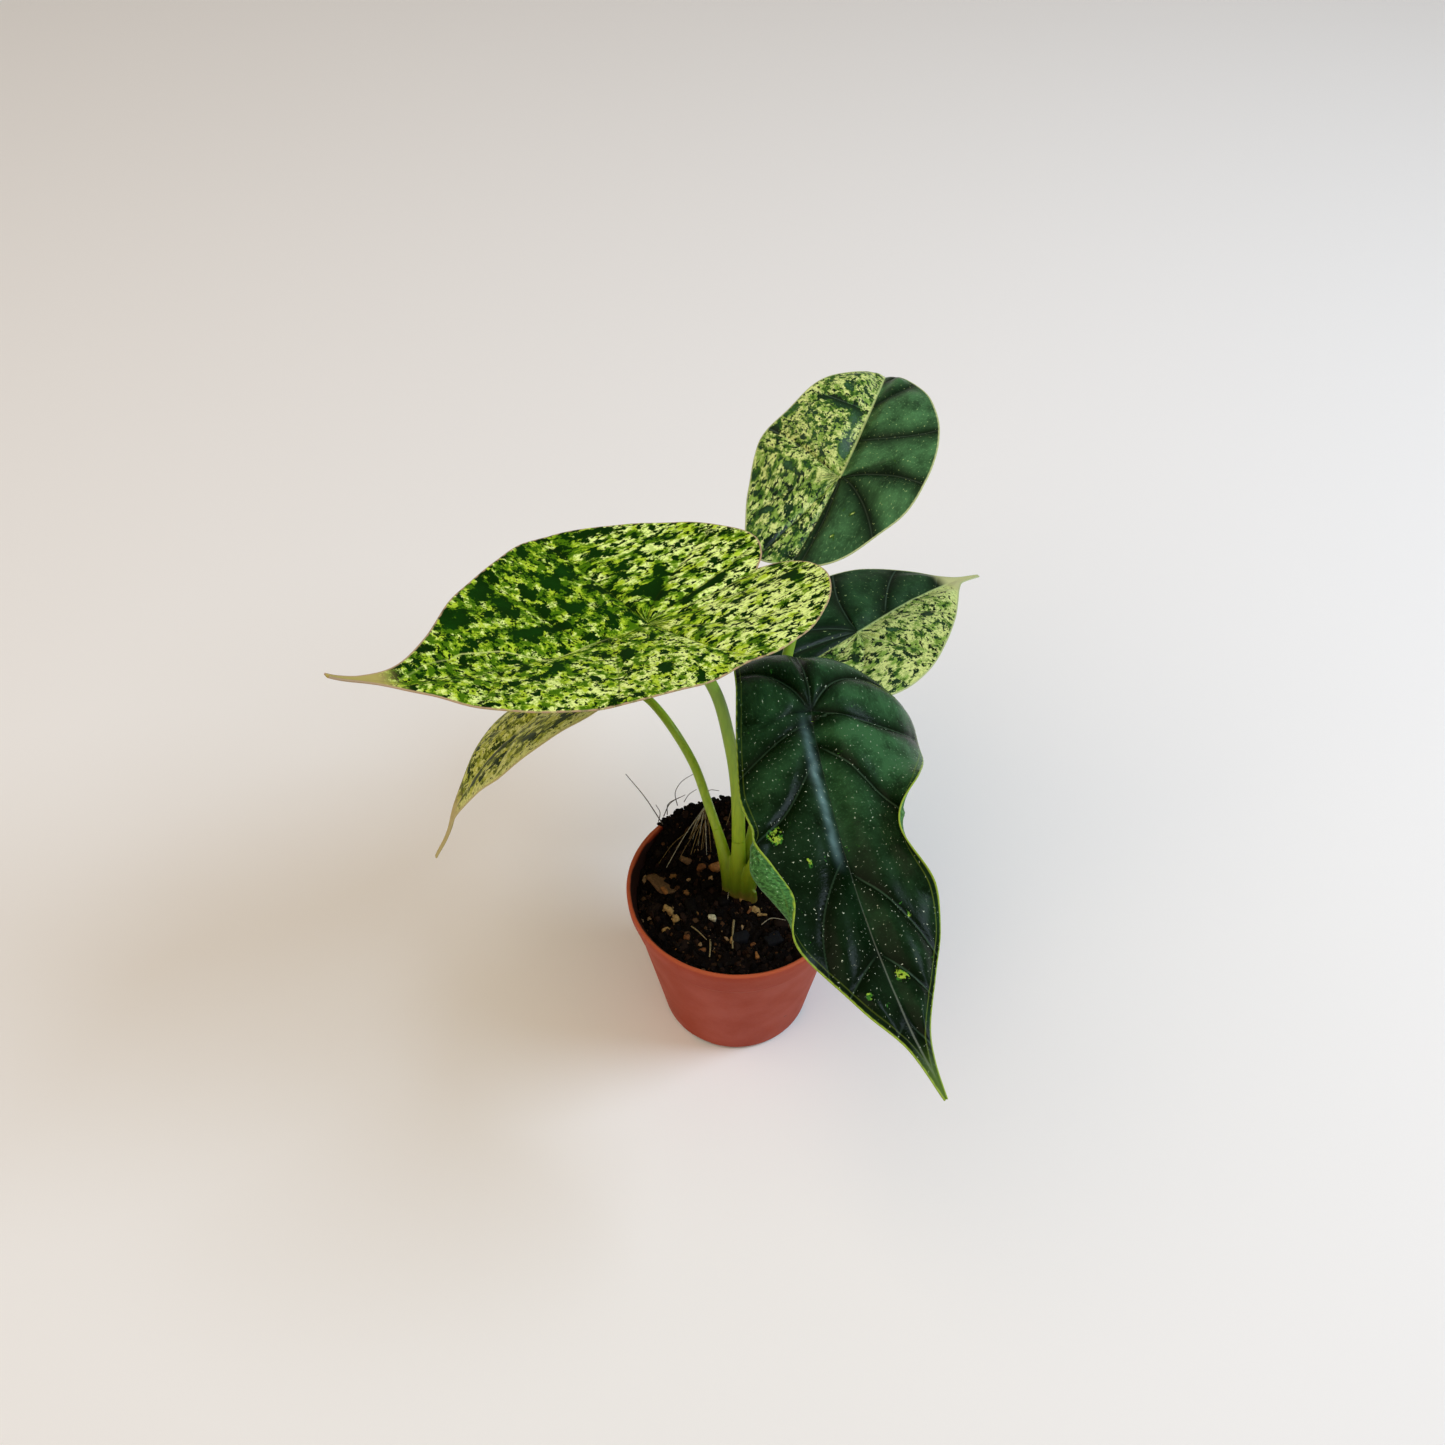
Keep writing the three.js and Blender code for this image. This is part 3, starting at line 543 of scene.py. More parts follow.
# What is worked out from the fields: a result, the operation, and the fields or numbers that it takes
leafFieldSums = (
    ("pale", "MULTIPLY_ADD", "cover", -0.5, "pale"), ("fine", "MULTIPLY_ADD", "fleck", 0.34, "fine"),
    ("middle", "MULTIPLY_ADD", "cover", 0.42, "middle"), ("broad", "MULTIPLY_ADD", "cover", 0.42, "broad"),
    ("phase", "PINGPONG", "panel", 0.5), ("toVein", "MULTIPLY", "phase", "panelSize"),
    ("toMidrib", "ABSOLUTE", "midline"), ("fromHem", "SUBTRACT", "edge", 1.3),
    ("toHem", "ABSOLUTE", "fromHem"),
)
# Each share goes from 0 where its field is at the first bound to the last number at the second bound. The
# noises average 0.5, and a third of them lies above 0.54.
leafShares = {
    "pale": ("pale", 0.29, 0.39, 1), "freckle": ("freckle", 0.53, 0.56, 0.45),
    "mist": ("freckle", 0.5, 0.75, 0.5), "haze": ("freckle", 0.35, 0.65, 0.55),
    "fresh": ("middle", 0.612, 0.636, 0.9), "green": ("middle", 0.672, 0.69, 0.95),
    "flecks": ("fine", 0.664, 0.68, 1), "broad": ("broad", 0.69, 0.71, 1), "open": ("toVein", 0.2, 5, 1),
    "wash": ("wash", 0.12, 0.75, 1), "veinLine": ("toVein", 0.3, 0.08, 1), "off": ("reach", 0.5, 3, 1),
    "midribLine": ("toMidrib", 0.34, 0.1, 1), "margin": ("edge", 0.4, 0.16, 1), "paintedSheen": ("paintedSheen", 0, 1, 0.8),
}
# What is worked out from the shares, in the same form
leafShareSums = (
    ("dark", "MAXIMUM", "flecks", "broad"), ("open", "MULTIPLY", "open", "cover"),
    ("open", "MULTIPLY", "open", "glowShow"), ("glow", "MULTIPLY", "open", "wash"),
    ("mist", "MULTIPLY", "mist", "open"), ("glow", "ADD", "glow", "mist"),
    ("veinLine", "MULTIPLY", "veinLine", "off"), ("veinLine", "MULTIPLY", "veinLine", "veinShow"),
    ("midribLine", "MULTIPLY", "midribLine", "midribShow"), ("hem", "MULTIPLY", "hem", "veinShow"),
    ("paintedSheen", "MULTIPLY", "paintedSheen", "wash"), ("specks", "MULTIPLY", "specks", "wash"),
    ("haze", "ADD", "haze", 0.2), ("under", "MULTIPLY", "under", "haze"),
)
# Colours over the lime ground, lowest first: the share and the colour that it shows
leafLayers = (("pale", "pale"), ("freckle", "fresh"), ("fresh", "fresh"), ("green", "green"),
              ("dark", "tissue"), ("paintedSheen", "paintedSheen"), ("veinLine", "vein"), ("hem", "margin"),
              ("midribLine", "speck"), ("under", "under"), ("specks", "speck"), ("tipShare", "tip"),
              ("margin", "margin"))

# Marks that stand out: the half they are on, place, half length, half width and turn in degrees. Dark ones
# are deep green in pale tissue, lime ones are pale in green tissue.
leafMarks = {
    "left": {
        "kind": "mottled", "grain": 1.1, "tipFrom": 62, "tipLength": 7, "veins": (0.5, 0.5),
        "glow": (1, 1), "midrib": 0.55, "midribAlong": ((0, 0), (12, 0.2), (20, 1), (44, 1), (56, 0.3)),
        "dark": ((1, -11, 10, 4.4, 1.9, 138), (1, -15.6, 14.8, 3.6, 1.6, 115),
                 (1, -18.4, 2.9, 8, 0.9, 171), (0, -35.6, 12.9, 3.2, 1.6, 60),
                 (1, 29.8, 25.6, 4.5, 1.6, -30), (1, 42.4, 17.4, 5.5, 2, -38), (1, 4.8, 25.3, 2.4, 2, 0),
                 (1, 11.4, 22.9, 3.2, 2.2, 60), (1, 27.8, 20.5, 3.4, 2, 20), (1, 28.1, 8.5, 4.4, 1.6, 0),
                 (1, 11.7, 12.4, 3, 1.6, 40), (0, 14.9, 11.1, 3, 1.4, 60), (0, 13.7, 22.9, 2.4, 1.2, 60),
                 (0, 30.5, 8, 3.5, 1.4, 30)),
        "lime": (),
    },
    "top": {
        "kind": "half", "grain": 0.85, "tipFrom": 44, "tipLength": 6, "veins": (0.15, 0.12),
        "glow": (1, 1), "midrib": 0.6, "midribAlong": ((0, 1), (40, 1)),
        "dark": ((0, 21, 7.5, 5.6, 1.7, 90), (0, 19, 3, 3, 1.3, 0), (0, 7.5, 2, 2.6, 1.4, 20),
                 (0, 8.4, 21.4, 1.7, 1.1, 0), (0, -2, 13.9, 1.6, 0.9, 60), (0, -0.1, 9.4, 1.4, 0.8, 60),
                 (0, 14.4, 20, 2.4, 1, -40), (0, -16.5, 13.7, 2, 1, 120), (0, 26.6, 7.7, 1.6, 0.9, 60)),
        "lime": ((1, -12.4, 10.1, 1.1, 0.7, 30), (1, -21.3, 8, 0.9, 0.5, 30)),
    },
    "right": {
        "kind": "half", "grain": 1.1, "tipFrom": 34, "tipLength": 5, "veins": (0.2, 0.1),
        "glow": (0.4, 1), "midrib": 0.6, "midribAlong": ((0, 1), (40, 1)),
        "dark": ((1, 2.4, 13, 1.3, 0.9, 60), (1, 19.4, 8.4, 1.3, 1, 0), (1, -4.4, 2.9, 2.6, 0.5, 145),
                 (1, -10.1, 8.1, 1.9, 0.8, 140), (1, 6.1, 6.6, 1.4, 0.6, 30)),
        "lime": (),
    },
    "front": {
        "kind": "dark", "grain": 0.9, "tipFrom": 82, "tipLength": 12, "veins": (0.24, 0.14),
        # The front leaf's glow is stronger on its first half: partly painted sheen, where that half catches
        # the window light
        "glow": (1.3, 0.6), "midrib": 0.14, "midribAlong": ((0, 0.2), (40, 0.3), (50, 1), (80, 1)),
        "dark": (),
        "lime": ((1, 32.6, 15.2, 2.7, 2, 30), (0, 67.8, 3.1, 2.1, 1.6, 20), (1, 71, 6.2, 1.1, 1, 0),
                 (1, 40, 9.5, 1.1, 0.8, 0), (0, 55, 9.5, 1, 0.7, 0)),
    },
    "low": {
        "kind": "olive", "grain": 1.2, "tipFrom": 55, "tipLength": 7, "veins": (0.3, 0.3),
        "glow": (1, 1), "midrib": 0.3, "midribAlong": ((0, 1), (40, 1)),
        "dark": ((0, 39, 4.3, 5, 1.8, 0), (0, 48, 6.3, 3.4, 1.6, 0), (0, 22, 21, 1.8, 1.2, 0),
                 (0, 30, 15.4, 2, 1.4, 0), (0, 57.4, 2.4, 2.6, 0.8, 0)),
        "lime": (),
    },
}


def markField(marks, side, x, y):
    # 1 in the middle of a mark and 0 outside it
    field = np.zeros_like(x)
    for half, atX, atY, length, width, turn in marks:
        c, s = cosSin(turn)
        size = np.hypot(((x - atX) * c + (y - atY) * s) / length, ((y - atY) * c - (x - atX) * s) / width)
        field = np.maximum(field, smooth(1.5 - size) * (side == half))
    return field


def leafFields(name, grid):
    # How green the tissue is, from 0, bare of chlorophyll, to 1, wholly green, and how flecked
    marks = leafMarks[name]
    x, y, side = grid["x"], grid["y"], grid["side"]
    fleck, cover, paintedSheen, paintedShadeFade = 0.2, 1, 0, 1
    if name == "left":
        cover = 0.22 + 0.16 * smooth((x + 20) / 20) + 0.05 * (side == 1) * bell((x - 8) / 14)
        cover -= (0.07 + 0.04 * smooth((x + 15) / 15)) * (side == 0) * smooth(y / 20)
        fleck = 0.4 - 0.14 * smooth((x + 14) / 24)
    if name == "top":
        cover = np.where(side == 0, 0.26 + 0.04 * smooth(-x / 8), 1)
        fleck = (side == 0) * (0.3 + 0.04 * smooth(-x / 8))
    if name == "right":
        cover = np.where(side == 1, 0.19 - 0.5 * smooth((x - 26) / 10), 1)
        fleck = (side == 1) * (0.3 - 0.3 * smooth((x - 28) / 8))
    if name == "low":
        cover, fleck = 0.3 - 0.3 * smooth((5 - grid["edge"]) / 5) * (side == 0), 0.12
    if name == "front":
        # The front leaf's glow fades down the blade: painted shade on its lower half
        fleck, paintedShadeFade = 0.45, 1 - 0.75 * smooth((x - 8) / 36)
        # A painted highlight: the band beside the midrib on the second half stands for the window light's
        # bluish sheen
        paintedSheen = (side == 1) * bell((y - 2.5) / 1.2) * smooth((x + 1) / 12) * smooth((44 - x) / 12)
    dark, lime = (markField(marks[key], side, x, y) for key in ("dark", "lime"))
    return {
        **{key: grid[key] for key in ("panel", "panelSize", "edge", "reach", "drawnOut")},
        "midline": np.where(x > -0.5, grid["midline"], 9), "fleck": fleck, "paintedSheen": paintedSheen,
        "cover": cover + 0.42 * dark - 0.78 * lime,
        "veinShow": np.where(side == 0, *marks["veins"]),
        "glowShow": paintedShadeFade * np.where(side == 0, *marks["glow"]),
        "midribShow": marks["midrib"] * np.interp(x, *zip(*marks["midribAlong"])),
        "tipShare": smooth((x - marks["tipFrom"]) / marks["tipLength"]),
    }


def addSums(tree, known, sums):
    for key, operation, *given in sums:
        inputs = {k: known.get(v, v) for k, v in enumerate(given)}
        known[key] = addNode(tree, "Math", inputs, operation=operation)


def leafMaterial(name, look):
    # A leaf's waxy skin over green and chlorophyll-free tissue: a satin gloss, and cell lineages that show
    # as jagged blotches and flecks, which lie flat towards the tip and are drawn out near the joint
    material, tree, shader = newMaterial(name, {"IOR": 1.45, "Specular IOR Level": look["gloss"]})
    value = {key: addNode(tree, "Attribute", attribute_name=key).outputs["Fac"] for key in leafAttributes}
    for uvMap in ("flat", "streak"):
        place = addNode(tree, "UVMap", uv_map=uvMap)
        place = addNode(tree, "VectorMath", {0: place, 3: 100.0}, operation="SCALE")
        for k, (key, (size, detail, rough)) in enumerate(leafPatterns.items()):
            moved = addNode(tree, "VectorMath", {0: place, 1: (37.3 * k + 5, 19.1 * k, 0)}, operation="ADD")
            pattern = {"Vector": moved, "Scale": 1 / size, "Detail": detail, "Roughness": rough}
            value[uvMap, key] = addNode(tree, "TexNoise", pattern, noise_dimensions="2D")
    for key in leafPatterns:
        value[key] = value["flat", key]
        if key in drawnPatterns:
            value[key] = addNode(tree, "Mix", {0: value["drawnOut"], 2: value["flat", key],
                                               3: value["streak", key]})
    addSums(tree, value, leafFieldSums)
    shares = {**leafShares, "specks": ("freckle", look["speckFrom"], look["speckFrom"] + 0.04, 1.4),
              "hem": ("toHem", 0.2, 0.06, look["hem"])}
    share = {**value, **{key: addNode(tree, "MapRange", {0: value[source], 1: low, 2: high, 4: most})
                         for key, (source, low, high, most) in shares.items()}}
    addSums(tree, share, leafShareSums)
    tint = {key: linearColor(color) for key, color in look.items() if isinstance(color, str)}
    tint["paintedSheen"] = linearColor(paintedSheenColor)
    tint["tissue"] = addNode(tree, "Mix", {0: share["glow"], 6: tint["deep"], 7: tint["glow"]},
                             data_type="RGBA").outputs[2]
    color = tint["lime"]
    for key, over in leafLayers:
        color = addNode(tree, "Mix", {0: share[key], 6: color, 7: tint[over]}, data_type="RGBA").outputs[2]
    rough = addNode(tree, "MapRange", {0: value["wash"], 1: 0.3, 2: 0.7, 3: look["rough"] - 0.05,
                                       4: look["rough"] + 0.08})
    rough = addNode(tree, "Math", {0: value["under"], 1: 0.2, 2: rough}, operation="MULTIPLY_ADD")
    grain = addNode(tree, "TexNoise", {"Vector": place, "Scale": 1.8, "Detail": 4.0}, noise_dimensions="2D")
    bump = addNode(tree, "Bump", {"Strength": 0.35, "Distance": 0.12 * mm, "Height": grain})
    setInputs(tree, shader, {"Base Color": color, "Roughness": rough, "Normal": bump})
    return material


leafMaterials = {name: leafMaterial(f"leaf_cuticle_{name}", look) for name, look in leafLooks.items()}

for name, leaf in leaves.items():
    grid = bladeGrid(leaf)
    points, faces, source, isUnder = bladeMesh(leaf, grid)
    marks = leafMarks[name]
    piece = newPiece(f"blade_{name}", points, faces, leafMaterials[marks["kind"]], f"leaf_{name}",
                     f"leaf_{marks['kind']}")
    sign = 1 - 2 * grid["side"]
    stretched = np.where(grid["x"] < 0, grid["x"] / blade["lobeStretch"], grid["x"])
    streaked = blade["markAcross"] * grid["along"], blade["markAlong"] * grid["reach"]
    for key, across, out in (("flat", stretched, grid["y"]), ("streak", *streaked)):
        place = np.stack([across, sign * out], -1).reshape(-1, 2)[source] / 100 / marks["grain"]
        piece.data.uv_layers.new(name=key).uv.foreach_set("vector", place.astype(np.float32).ravel())
    for key, values in leafFields(name, grid).items():
        storeField(piece, key, "CORNER", np.broadcast_to(values, sign.shape).reshape(-1)[source])
    storeField(piece, "under", "POINT", isUnder)
    print("leaf made:", name)


# Stalks
# Routes run from the crown's foot up to near the leaf, with the radius low and high
stalkForm = {"sides": 28, "rings": 96, "samples": 400, "overlap": 8, "sheathTop": 68, "landing": 3.7,
             "inset": 0.7, "flare": 1.2, "flareLength": 1.3, "flareRadius": 1.35}
stalks = {
    "left": {"radii": (1.9, 1.35), "route": (
        (0.2, 1.2, 45.3), (0.2, 1.6, 52), (0.4, 3.2, 62), (-0.1, 5.4, 84),
        (-2, 6.6, 101), (-5.5, 7.8, 118), (-9.9, 8.2, 127), (-15.4, 7.8, 132.5))},
    "low": {"radii": (1.35, 1.1), "route": (
        (-1.8, 2.2, 45.3), (-2.2, 2.8, 51.5), (-4.2, 5.6, 62), (-7.6, 9.6, 73.5),
        (-11.4, 15, 83.5), (-17.5, 22, 91), (-23, 29, 93))},
    "top": {"radii": (1.6, 1.2), "route": (
        (1.8, 4.2, 45.3), (2.2, 4.8, 52), (4.2, 8, 62), (7.2, 14.8, 83),
        (10, 21, 100), (12.6, 27.4, 111.5), (15.6, 36, 118.4), (19.4, 47, 122.4), (24, 59.5, 125.5))},
    "front": {"radii": (1.7, 1.3), "route": (
        (2.6, 0.6, 45.3), (3.2, 0.4, 52), (5.4, 0.6, 63), (9.4, 1.2, 84),
        (12.6, 1, 100), (14.6, 0, 112))},
    "right": {"radii": (1.4, 1.1), "route": (
        (3.4, 3.2, 45.3), (3.8, 3.3, 51), (7.8, 5.6, 62), (12.6, 13, 75),
        (18.5, 23.5, 86), (25.5, 35.5, 93))},
}


def throughPoints(route, count):
    # A centripetal Catmull-Rom curve, sampled at equal steps along its length
    route = np.array(route, float)
    padded = extended(route)
    f = np.linspace(0, 1, 24, endpoint=False)[:, None]
    curve = []
    for k in range(len(route) - 1):
        a, b, c, d = padded[k:k + 4]
        before, here, after = (np.linalg.norm(q - p) ** 0.5 for p, q in ((a, b), (b, c), (c, d)))
        leave = ((b - a) / before - (c - a) / (before + here) + (c - b) / here) * here
        arrive = ((c - b) / here - (d - b) / (here + after) + (d - c) / after) * here
        curve.append((2 * f ** 3 - 3 * f ** 2 + 1) * b + (f ** 3 - 2 * f ** 2 + f) * leave
                     + (3 * f ** 2 - 2 * f ** 3) * c + (f ** 3 - f ** 2) * arrive)
    curve = np.vstack([*curve, route[-1:]])
    length = lengthAlong(curve)
    return between(np.linspace(0, length[-1], count), length, curve)


def stalkCurve(name):
    # The stalk's middle line, the number of its first point above the crown's sheaths, and each point's share
    leaf, samples = leaves[name], stalkForm["samples"]
    stations = midribStations(leaf)
    up = between(0.0, stations["x"], stations["up"])
    up /= np.linalg.norm(up)
    inset = stalkForm["inset"] + 0.65 * leaf["groove"][0]
    joint = np.array(leaf["joint"], float)
    curve = throughPoints([*stalks[name]["route"], joint - up * (stalkForm["landing"] + inset),
                           joint - up * inset], samples)
    return curve, int(np.argmax(curve[:, 2] > stalkForm["sheathTop"])), np.linspace(0, 1, samples)


# A petiole's smooth cuticle: yellow-green, paler low down, with faint lengthwise streaks and a satin gloss
stalkSkin, tree, shader = newMaterial("petiole_cuticle", {
    "IOR": 1.45, "Roughness": 0.38, "Subsurface Weight": 0.12, "Subsurface Scale": 0.0015})
coords = addNode(tree, "TexCoord").outputs["Object"]
drawnOut = addNode(tree, "VectorMath", {0: coords, 1: (1000, 1000, 90)}, operation="MULTIPLY")
streaks = addNode(tree, "TexNoise", {"Vector": drawnOut, "Scale": 1.4, "Detail": 3.0})
height = addNode(tree, "SeparateXYZ", {0: coords}).outputs[2]
skin = layeredColor(tree, "#a8c22a", [
    (height, 60 * mm, 120 * mm, 1, "#88ac2a"), (streaks, 0.4, 0.7, 0.45, "#6c9422")])
bump = addNode(tree, "Bump", {"Strength": 0.2, "Distance": 0.1 * mm, "Height": streaks})
setInputs(tree, shader, {"Base Color": skin, "Normal": bump})

for name, stalk in stalks.items():
    curve, sheathEnd, along = stalkCurve(name)
    first = (sheathEnd - stalkForm["overlap"]) / (stalkForm["samples"] - 1)
    share = np.linspace(first, 1, stalkForm["rings"])
    centres = between(share, along, curve)
    low, high = stalk["radii"]
    left = np.linalg.norm(centres - centres[-1], axis=1)
    flare = stalkForm["flare"] * bell(left / stalkForm["flareLength"]) / stalkForm["flareRadius"]
    tube = tubeMesh(centres, low + (high - low) * share + flare * high, stalkForm["sides"])
    newPiece(f"petiole_{name}", *tube, stalkSkin, f"stalk_{name}", "stalk_tissue")
print("stalks made")


# Crown
crown = {"sheathRadius": 2.2, "voxel": 0.28, "smoothing": 8, "smoothingShare": 0.5, "sides": 20, "rings": 28,
         "bright": (3.3, -1, 66),
         "bud": {"foot": (4.3, -0.8, 45.2), "tip": (4.9, -1.8, 50.4), "radii": (1.5, 0.5), "rings": 10}}

# The sheathing stalk feet: pale yellow-green, fibrous, browned where they stand in the mix
sheathSkin, tree, shader = newMaterial("sheath_cuticle", {
    "IOR": 1.45, "Roughness": 0.42, "Subsurface Weight": 0.15, "Subsurface Scale": 0.002})
coords = addNode(tree, "TexCoord").outputs["Object"]
drawnOut = addNode(tree, "VectorMath", {0: coords, 1: (1000, 1000, 160)}, operation="MULTIPLY")
streaks = addNode(tree, "TexNoise", {"Vector": drawnOut, "Scale": 1.1, "Detail": 4.0})
blotches = addNode(tree, "TexNoise", {"Vector": coords, "Scale": 420.0, "Detail": 3.0})
height = addNode(tree, "SeparateXYZ", {0: coords}).outputs[2]
ragged = addNode(tree, "Math", {0: blotches, 1: -6 * mm, 2: height}, operation="MULTIPLY_ADD")
away = addNode(tree, "VectorMath", {0: coords, 1: tuple(v * mm for v in crown["bright"])},
               operation="DISTANCE").outputs["Value"]
# The darker olive towards the foot is painted shade under the leaves
skin = layeredColor(tree, "#8ca416", [
    (streaks, 0.42, 0.66, 0.5, "#6e8814"), (height, 62 * mm, 48 * mm, 0.8, "#465a0c"),
    (height, 56 * mm, 67 * mm, 1, "#9cb828"), (away, 3 * mm, 1.4 * mm, 0.75, "#cfd820"),
    (ragged, 46.5 * mm, 42.5 * mm, 0.85, "#7c6630")])
bump = addNode(tree, "Bump", {"Strength": 0.15, "Distance": 0.1 * mm, "Height": streaks})
setInputs(tree, shader, {"Base Color": skin, "Normal": bump})

feet = []
for name, stalk in stalks.items():
    curve, sheathEnd, along = stalkCurve(name)
    share = np.linspace(0, 1, crown["rings"])
    reached = share * sheathEnd / (stalkForm["samples"] - 1)
    low, high = stalk["radii"]
    own = low + (high - low) * reached
    widening = (1 - smooth(share)) ** 0.7
    feet.append(tubeMesh(between(reached, along, curve), own + (crown["sheathRadius"] - own) * widening,
                         crown["sides"]))
bud = crown["bud"]
budCentres = np.linspace(bud["foot"], bud["tip"], bud["rings"])
feet.append(tubeMesh(budCentres, np.linspace(*bud["radii"], bud["rings"]), crown["sides"]))
rawCrown = rawObject("raw_crown", *joinedMesh(feet))
remesh = rawCrown.modifiers.new("remesh", "REMESH")
remesh.mode = "VOXEL"
remesh.voxel_size = crown["voxel"] * mm
relax = rawCrown.modifiers.new("relax", "SMOOTH")
relax.iterations, relax.factor = crown["smoothing"], crown["smoothingShare"]
crownPiece = asPlainMesh("crown_sheaths", rawCrown, sheathSkin)
crownPiece.data.shade_smooth()
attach(crownPiece, "root")
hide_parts("crown")
print("crown made,", len(crownPiece.data.polygons), "faces")


# Pot
pot = {"height": 51.5, "topRadius": 30, "baseRadius": 20.8, "wall": 1.2, "floor": 1.4, "corner": 2.0,
       "fillet": 1.0, "lip": 0.5, "bandHeight": 10, "bandStep": 0.45, "segments": 180,
       "nick": (13.8, -18.7, 14.2), "drain": {"radius": 2.6, "circle": 12, "count": 5},
       "slots": {"angles": (-118, -28, 62, 152), "across": 6, "deep": 5, "high": 3.2}}
potTaper = (pot["topRadius"] - pot["bandStep"] - pot["baseRadius"]) / pot["height"]


def outside(height):
    return pot["baseRadius"] + potTaper * height


def potInside(height):
    return outside(height) - pot["wall"]


def arc(centre, radius, fromDegrees, toDegrees, count):
    angles = np.radians(np.linspace(fromDegrees, toDegrees, count))
    return [(centre[0] + radius * math.cos(a), centre[1] + radius * math.sin(a)) for a in angles]


top, rim, lip, wall, step = (pot[key] for key in ("height", "topRadius", "lip", "wall", "bandStep"))
corner, ground, fillet = pot["corner"], pot["floor"], pot["fillet"]
bandFoot = top - pot["bandHeight"]
band = outside(bandFoot)
profile = [
    (0, 0), (pot["baseRadius"] - corner - 1, 0),
    *arc((outside(corner) - corner, corner), corner, -90, -6, 9),
    *((outside(h), h) for h in (8, 16, 24, 32, bandFoot - 1)),
    (band + 0.02, bandFoot - 0.1), (band + 0.18, bandFoot + 0.14), (band + step - 0.04, bandFoot + 0.4),
    (band + step, bandFoot + 0.8), (rim - 0.12, top - 3.0), (rim - 0.04, top - 1.6),
    *arc((rim - lip, top - lip), lip, 0, 90, 6), *arc((rim - wall + lip, top - lip), lip, 90, 180, 6),
    *((potInside(h), h) for h in (top - 2, 40, 30, 20, 10, ground + fillet)),
    (potInside(ground) - 0.3, ground + 0.3), (potInside(ground) - fillet, ground), (0, ground),
]
rawPot = rawObject("raw_pot", *latheMesh(profile, pot["segments"]))

cutters = []
drain, slots = pot["drain"], pot["slots"]
for k in range(drain["count"]):
    c, s = cosSin(360 * k / drain["count"])
    foot = np.array([drain["circle"] * c, drain["circle"] * s, -2.0])
    cutters.append(tubeMesh(np.array([foot, foot + (0, 0, 6)]), drain["radius"], 32))
for degrees in slots["angles"]:
    c, s = cosSin(degrees)
    out, along = np.array([c, s, 0]), np.array([-s, c, 0])
    half = [0.5 * slots["deep"] * out, 0.5 * slots["across"] * along, np.array([0, 0, 0.5 * slots["high"]])]
    corners = [out * pot["baseRadius"] + x * half[0] + y * half[1] + z * half[2]
               for z in (-1, 1) for y in (-1, 1) for x in (-1, 1)]
    sides = [[0, 2, 3, 1], [4, 5, 7, 6], [0, 1, 5, 4], [2, 6, 7, 3], [0, 4, 6, 2], [1, 3, 7, 5]]
    cutters.append((np.array(corners), sides))
rawCutter = rawObject("raw_cutter", *joinedMesh(cutters))
cut = rawPot.modifiers.new("cut", "BOOLEAN")
cut.object, cut.operation, cut.solver = rawCutter, "DIFFERENCE", "EXACT"

# Thin injection-moulded polypropylene, matt terracotta: finely grained, with rubbed marks, and a little paler
# and
# more orange on the top of the lip: a painted highlight. Below a ragged line the inner wall is painted near
# black:
# painted shade inside the pot, with peat dust clinging to it.
plastic, tree, shader = newMaterial("polypropylene_terracotta", {
    "IOR": 1.49, "Specular IOR Level": 0.3, "Subsurface Weight": 0.05, "Subsurface Scale": 0.001})
coords = addNode(tree, "TexCoord").outputs["Object"]
grain = addNode(tree, "TexNoise", {"Vector": coords, "Scale": 1500.0, "Detail": 3.0})
patches = addNode(tree, "TexNoise", {"Vector": coords, "Scale": 90.0, "Detail": 4.0})
height = addNode(tree, "SeparateXYZ", {0: coords}).outputs[2]
flat = addNode(tree, "VectorMath", {0: coords, 1: (1, 1, 0)}, operation="MULTIPLY")
fromAxis = addNode(tree, "VectorMath", {0: flat}, operation="LENGTH").outputs["Value"]
fromAxis = addNode(tree, "Math", {0: height, 1: -potTaper, 2: fromAxis}, operation="MULTIPLY_ADD")
# The inner wall below a ragged line is painted near black: painted shade inside the pot, with peat dust
inner = addNode(tree, "MapRange", {0: fromAxis, 1: (potInside(0) + 1) * mm, 2: (potInside(0) + 0.6) * mm})
ragged = addNode(tree, "Math", {0: patches, 1: 4 * mm, 2: height}, operation="MULTIPLY_ADD")
dustAndPaintedShade = addNode(tree, "MapRange", {0: ragged, 1: 53.6 * mm, 2: 53 * mm, 4: 0.96})
dustAndPaintedShade = addNode(tree, "Math", {0: inner, 1: dustAndPaintedShade}, operation="MULTIPLY")
nick = addNode(tree, "Mapping", {0: coords, 1: tuple(v * mm for v in pot["nick"]), 2: (0, 0, 0.6),
                                 3: (0.9, 0.9, 0.5)}, vector_type="TEXTURE")
nick = addNode(tree, "VectorMath", {0: nick}, operation="LENGTH").outputs["Value"]
# The paler band on the top of the lip is a painted highlight
shell = layeredColor(tree, "#a3350f", [
    (patches, 0.35, 0.65, 0.6, "#922d0c"), (grain, 0.3, 0.7, 0.3, "#ae431c"),
    (height, 50.8 * mm, 51.3 * mm, 0.5, "#c4663f"), (dustAndPaintedShade, 0, 1, 1, "#0d0705"),
    (nick, 0.9 * mm, 0.4 * mm, 0.7, "#4e1606")])
rub = addNode(tree, "MapRange", {0: patches, 1: 0.3, 2: 0.7, 3: 0.5, 4: 0.66})
bump = addNode(tree, "Bump", {"Strength": 0.25, "Distance": 0.06 * mm, "Height": grain})
setInputs(tree, shader, {"Base Color": shell, "Roughness": rub, "Normal": bump})

potPiece = asPlainMesh("nursery_pot", rawPot, plastic)
bpy.data.objects.remove(rawCutter)
potPiece.data.shade_smooth()
potPiece.data.set_sharp_from_angle(angle=math.radians(32))
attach(potPiece, "root")
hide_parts("pot")
print("pot made,", len(potPiece.data.polygons), "faces")


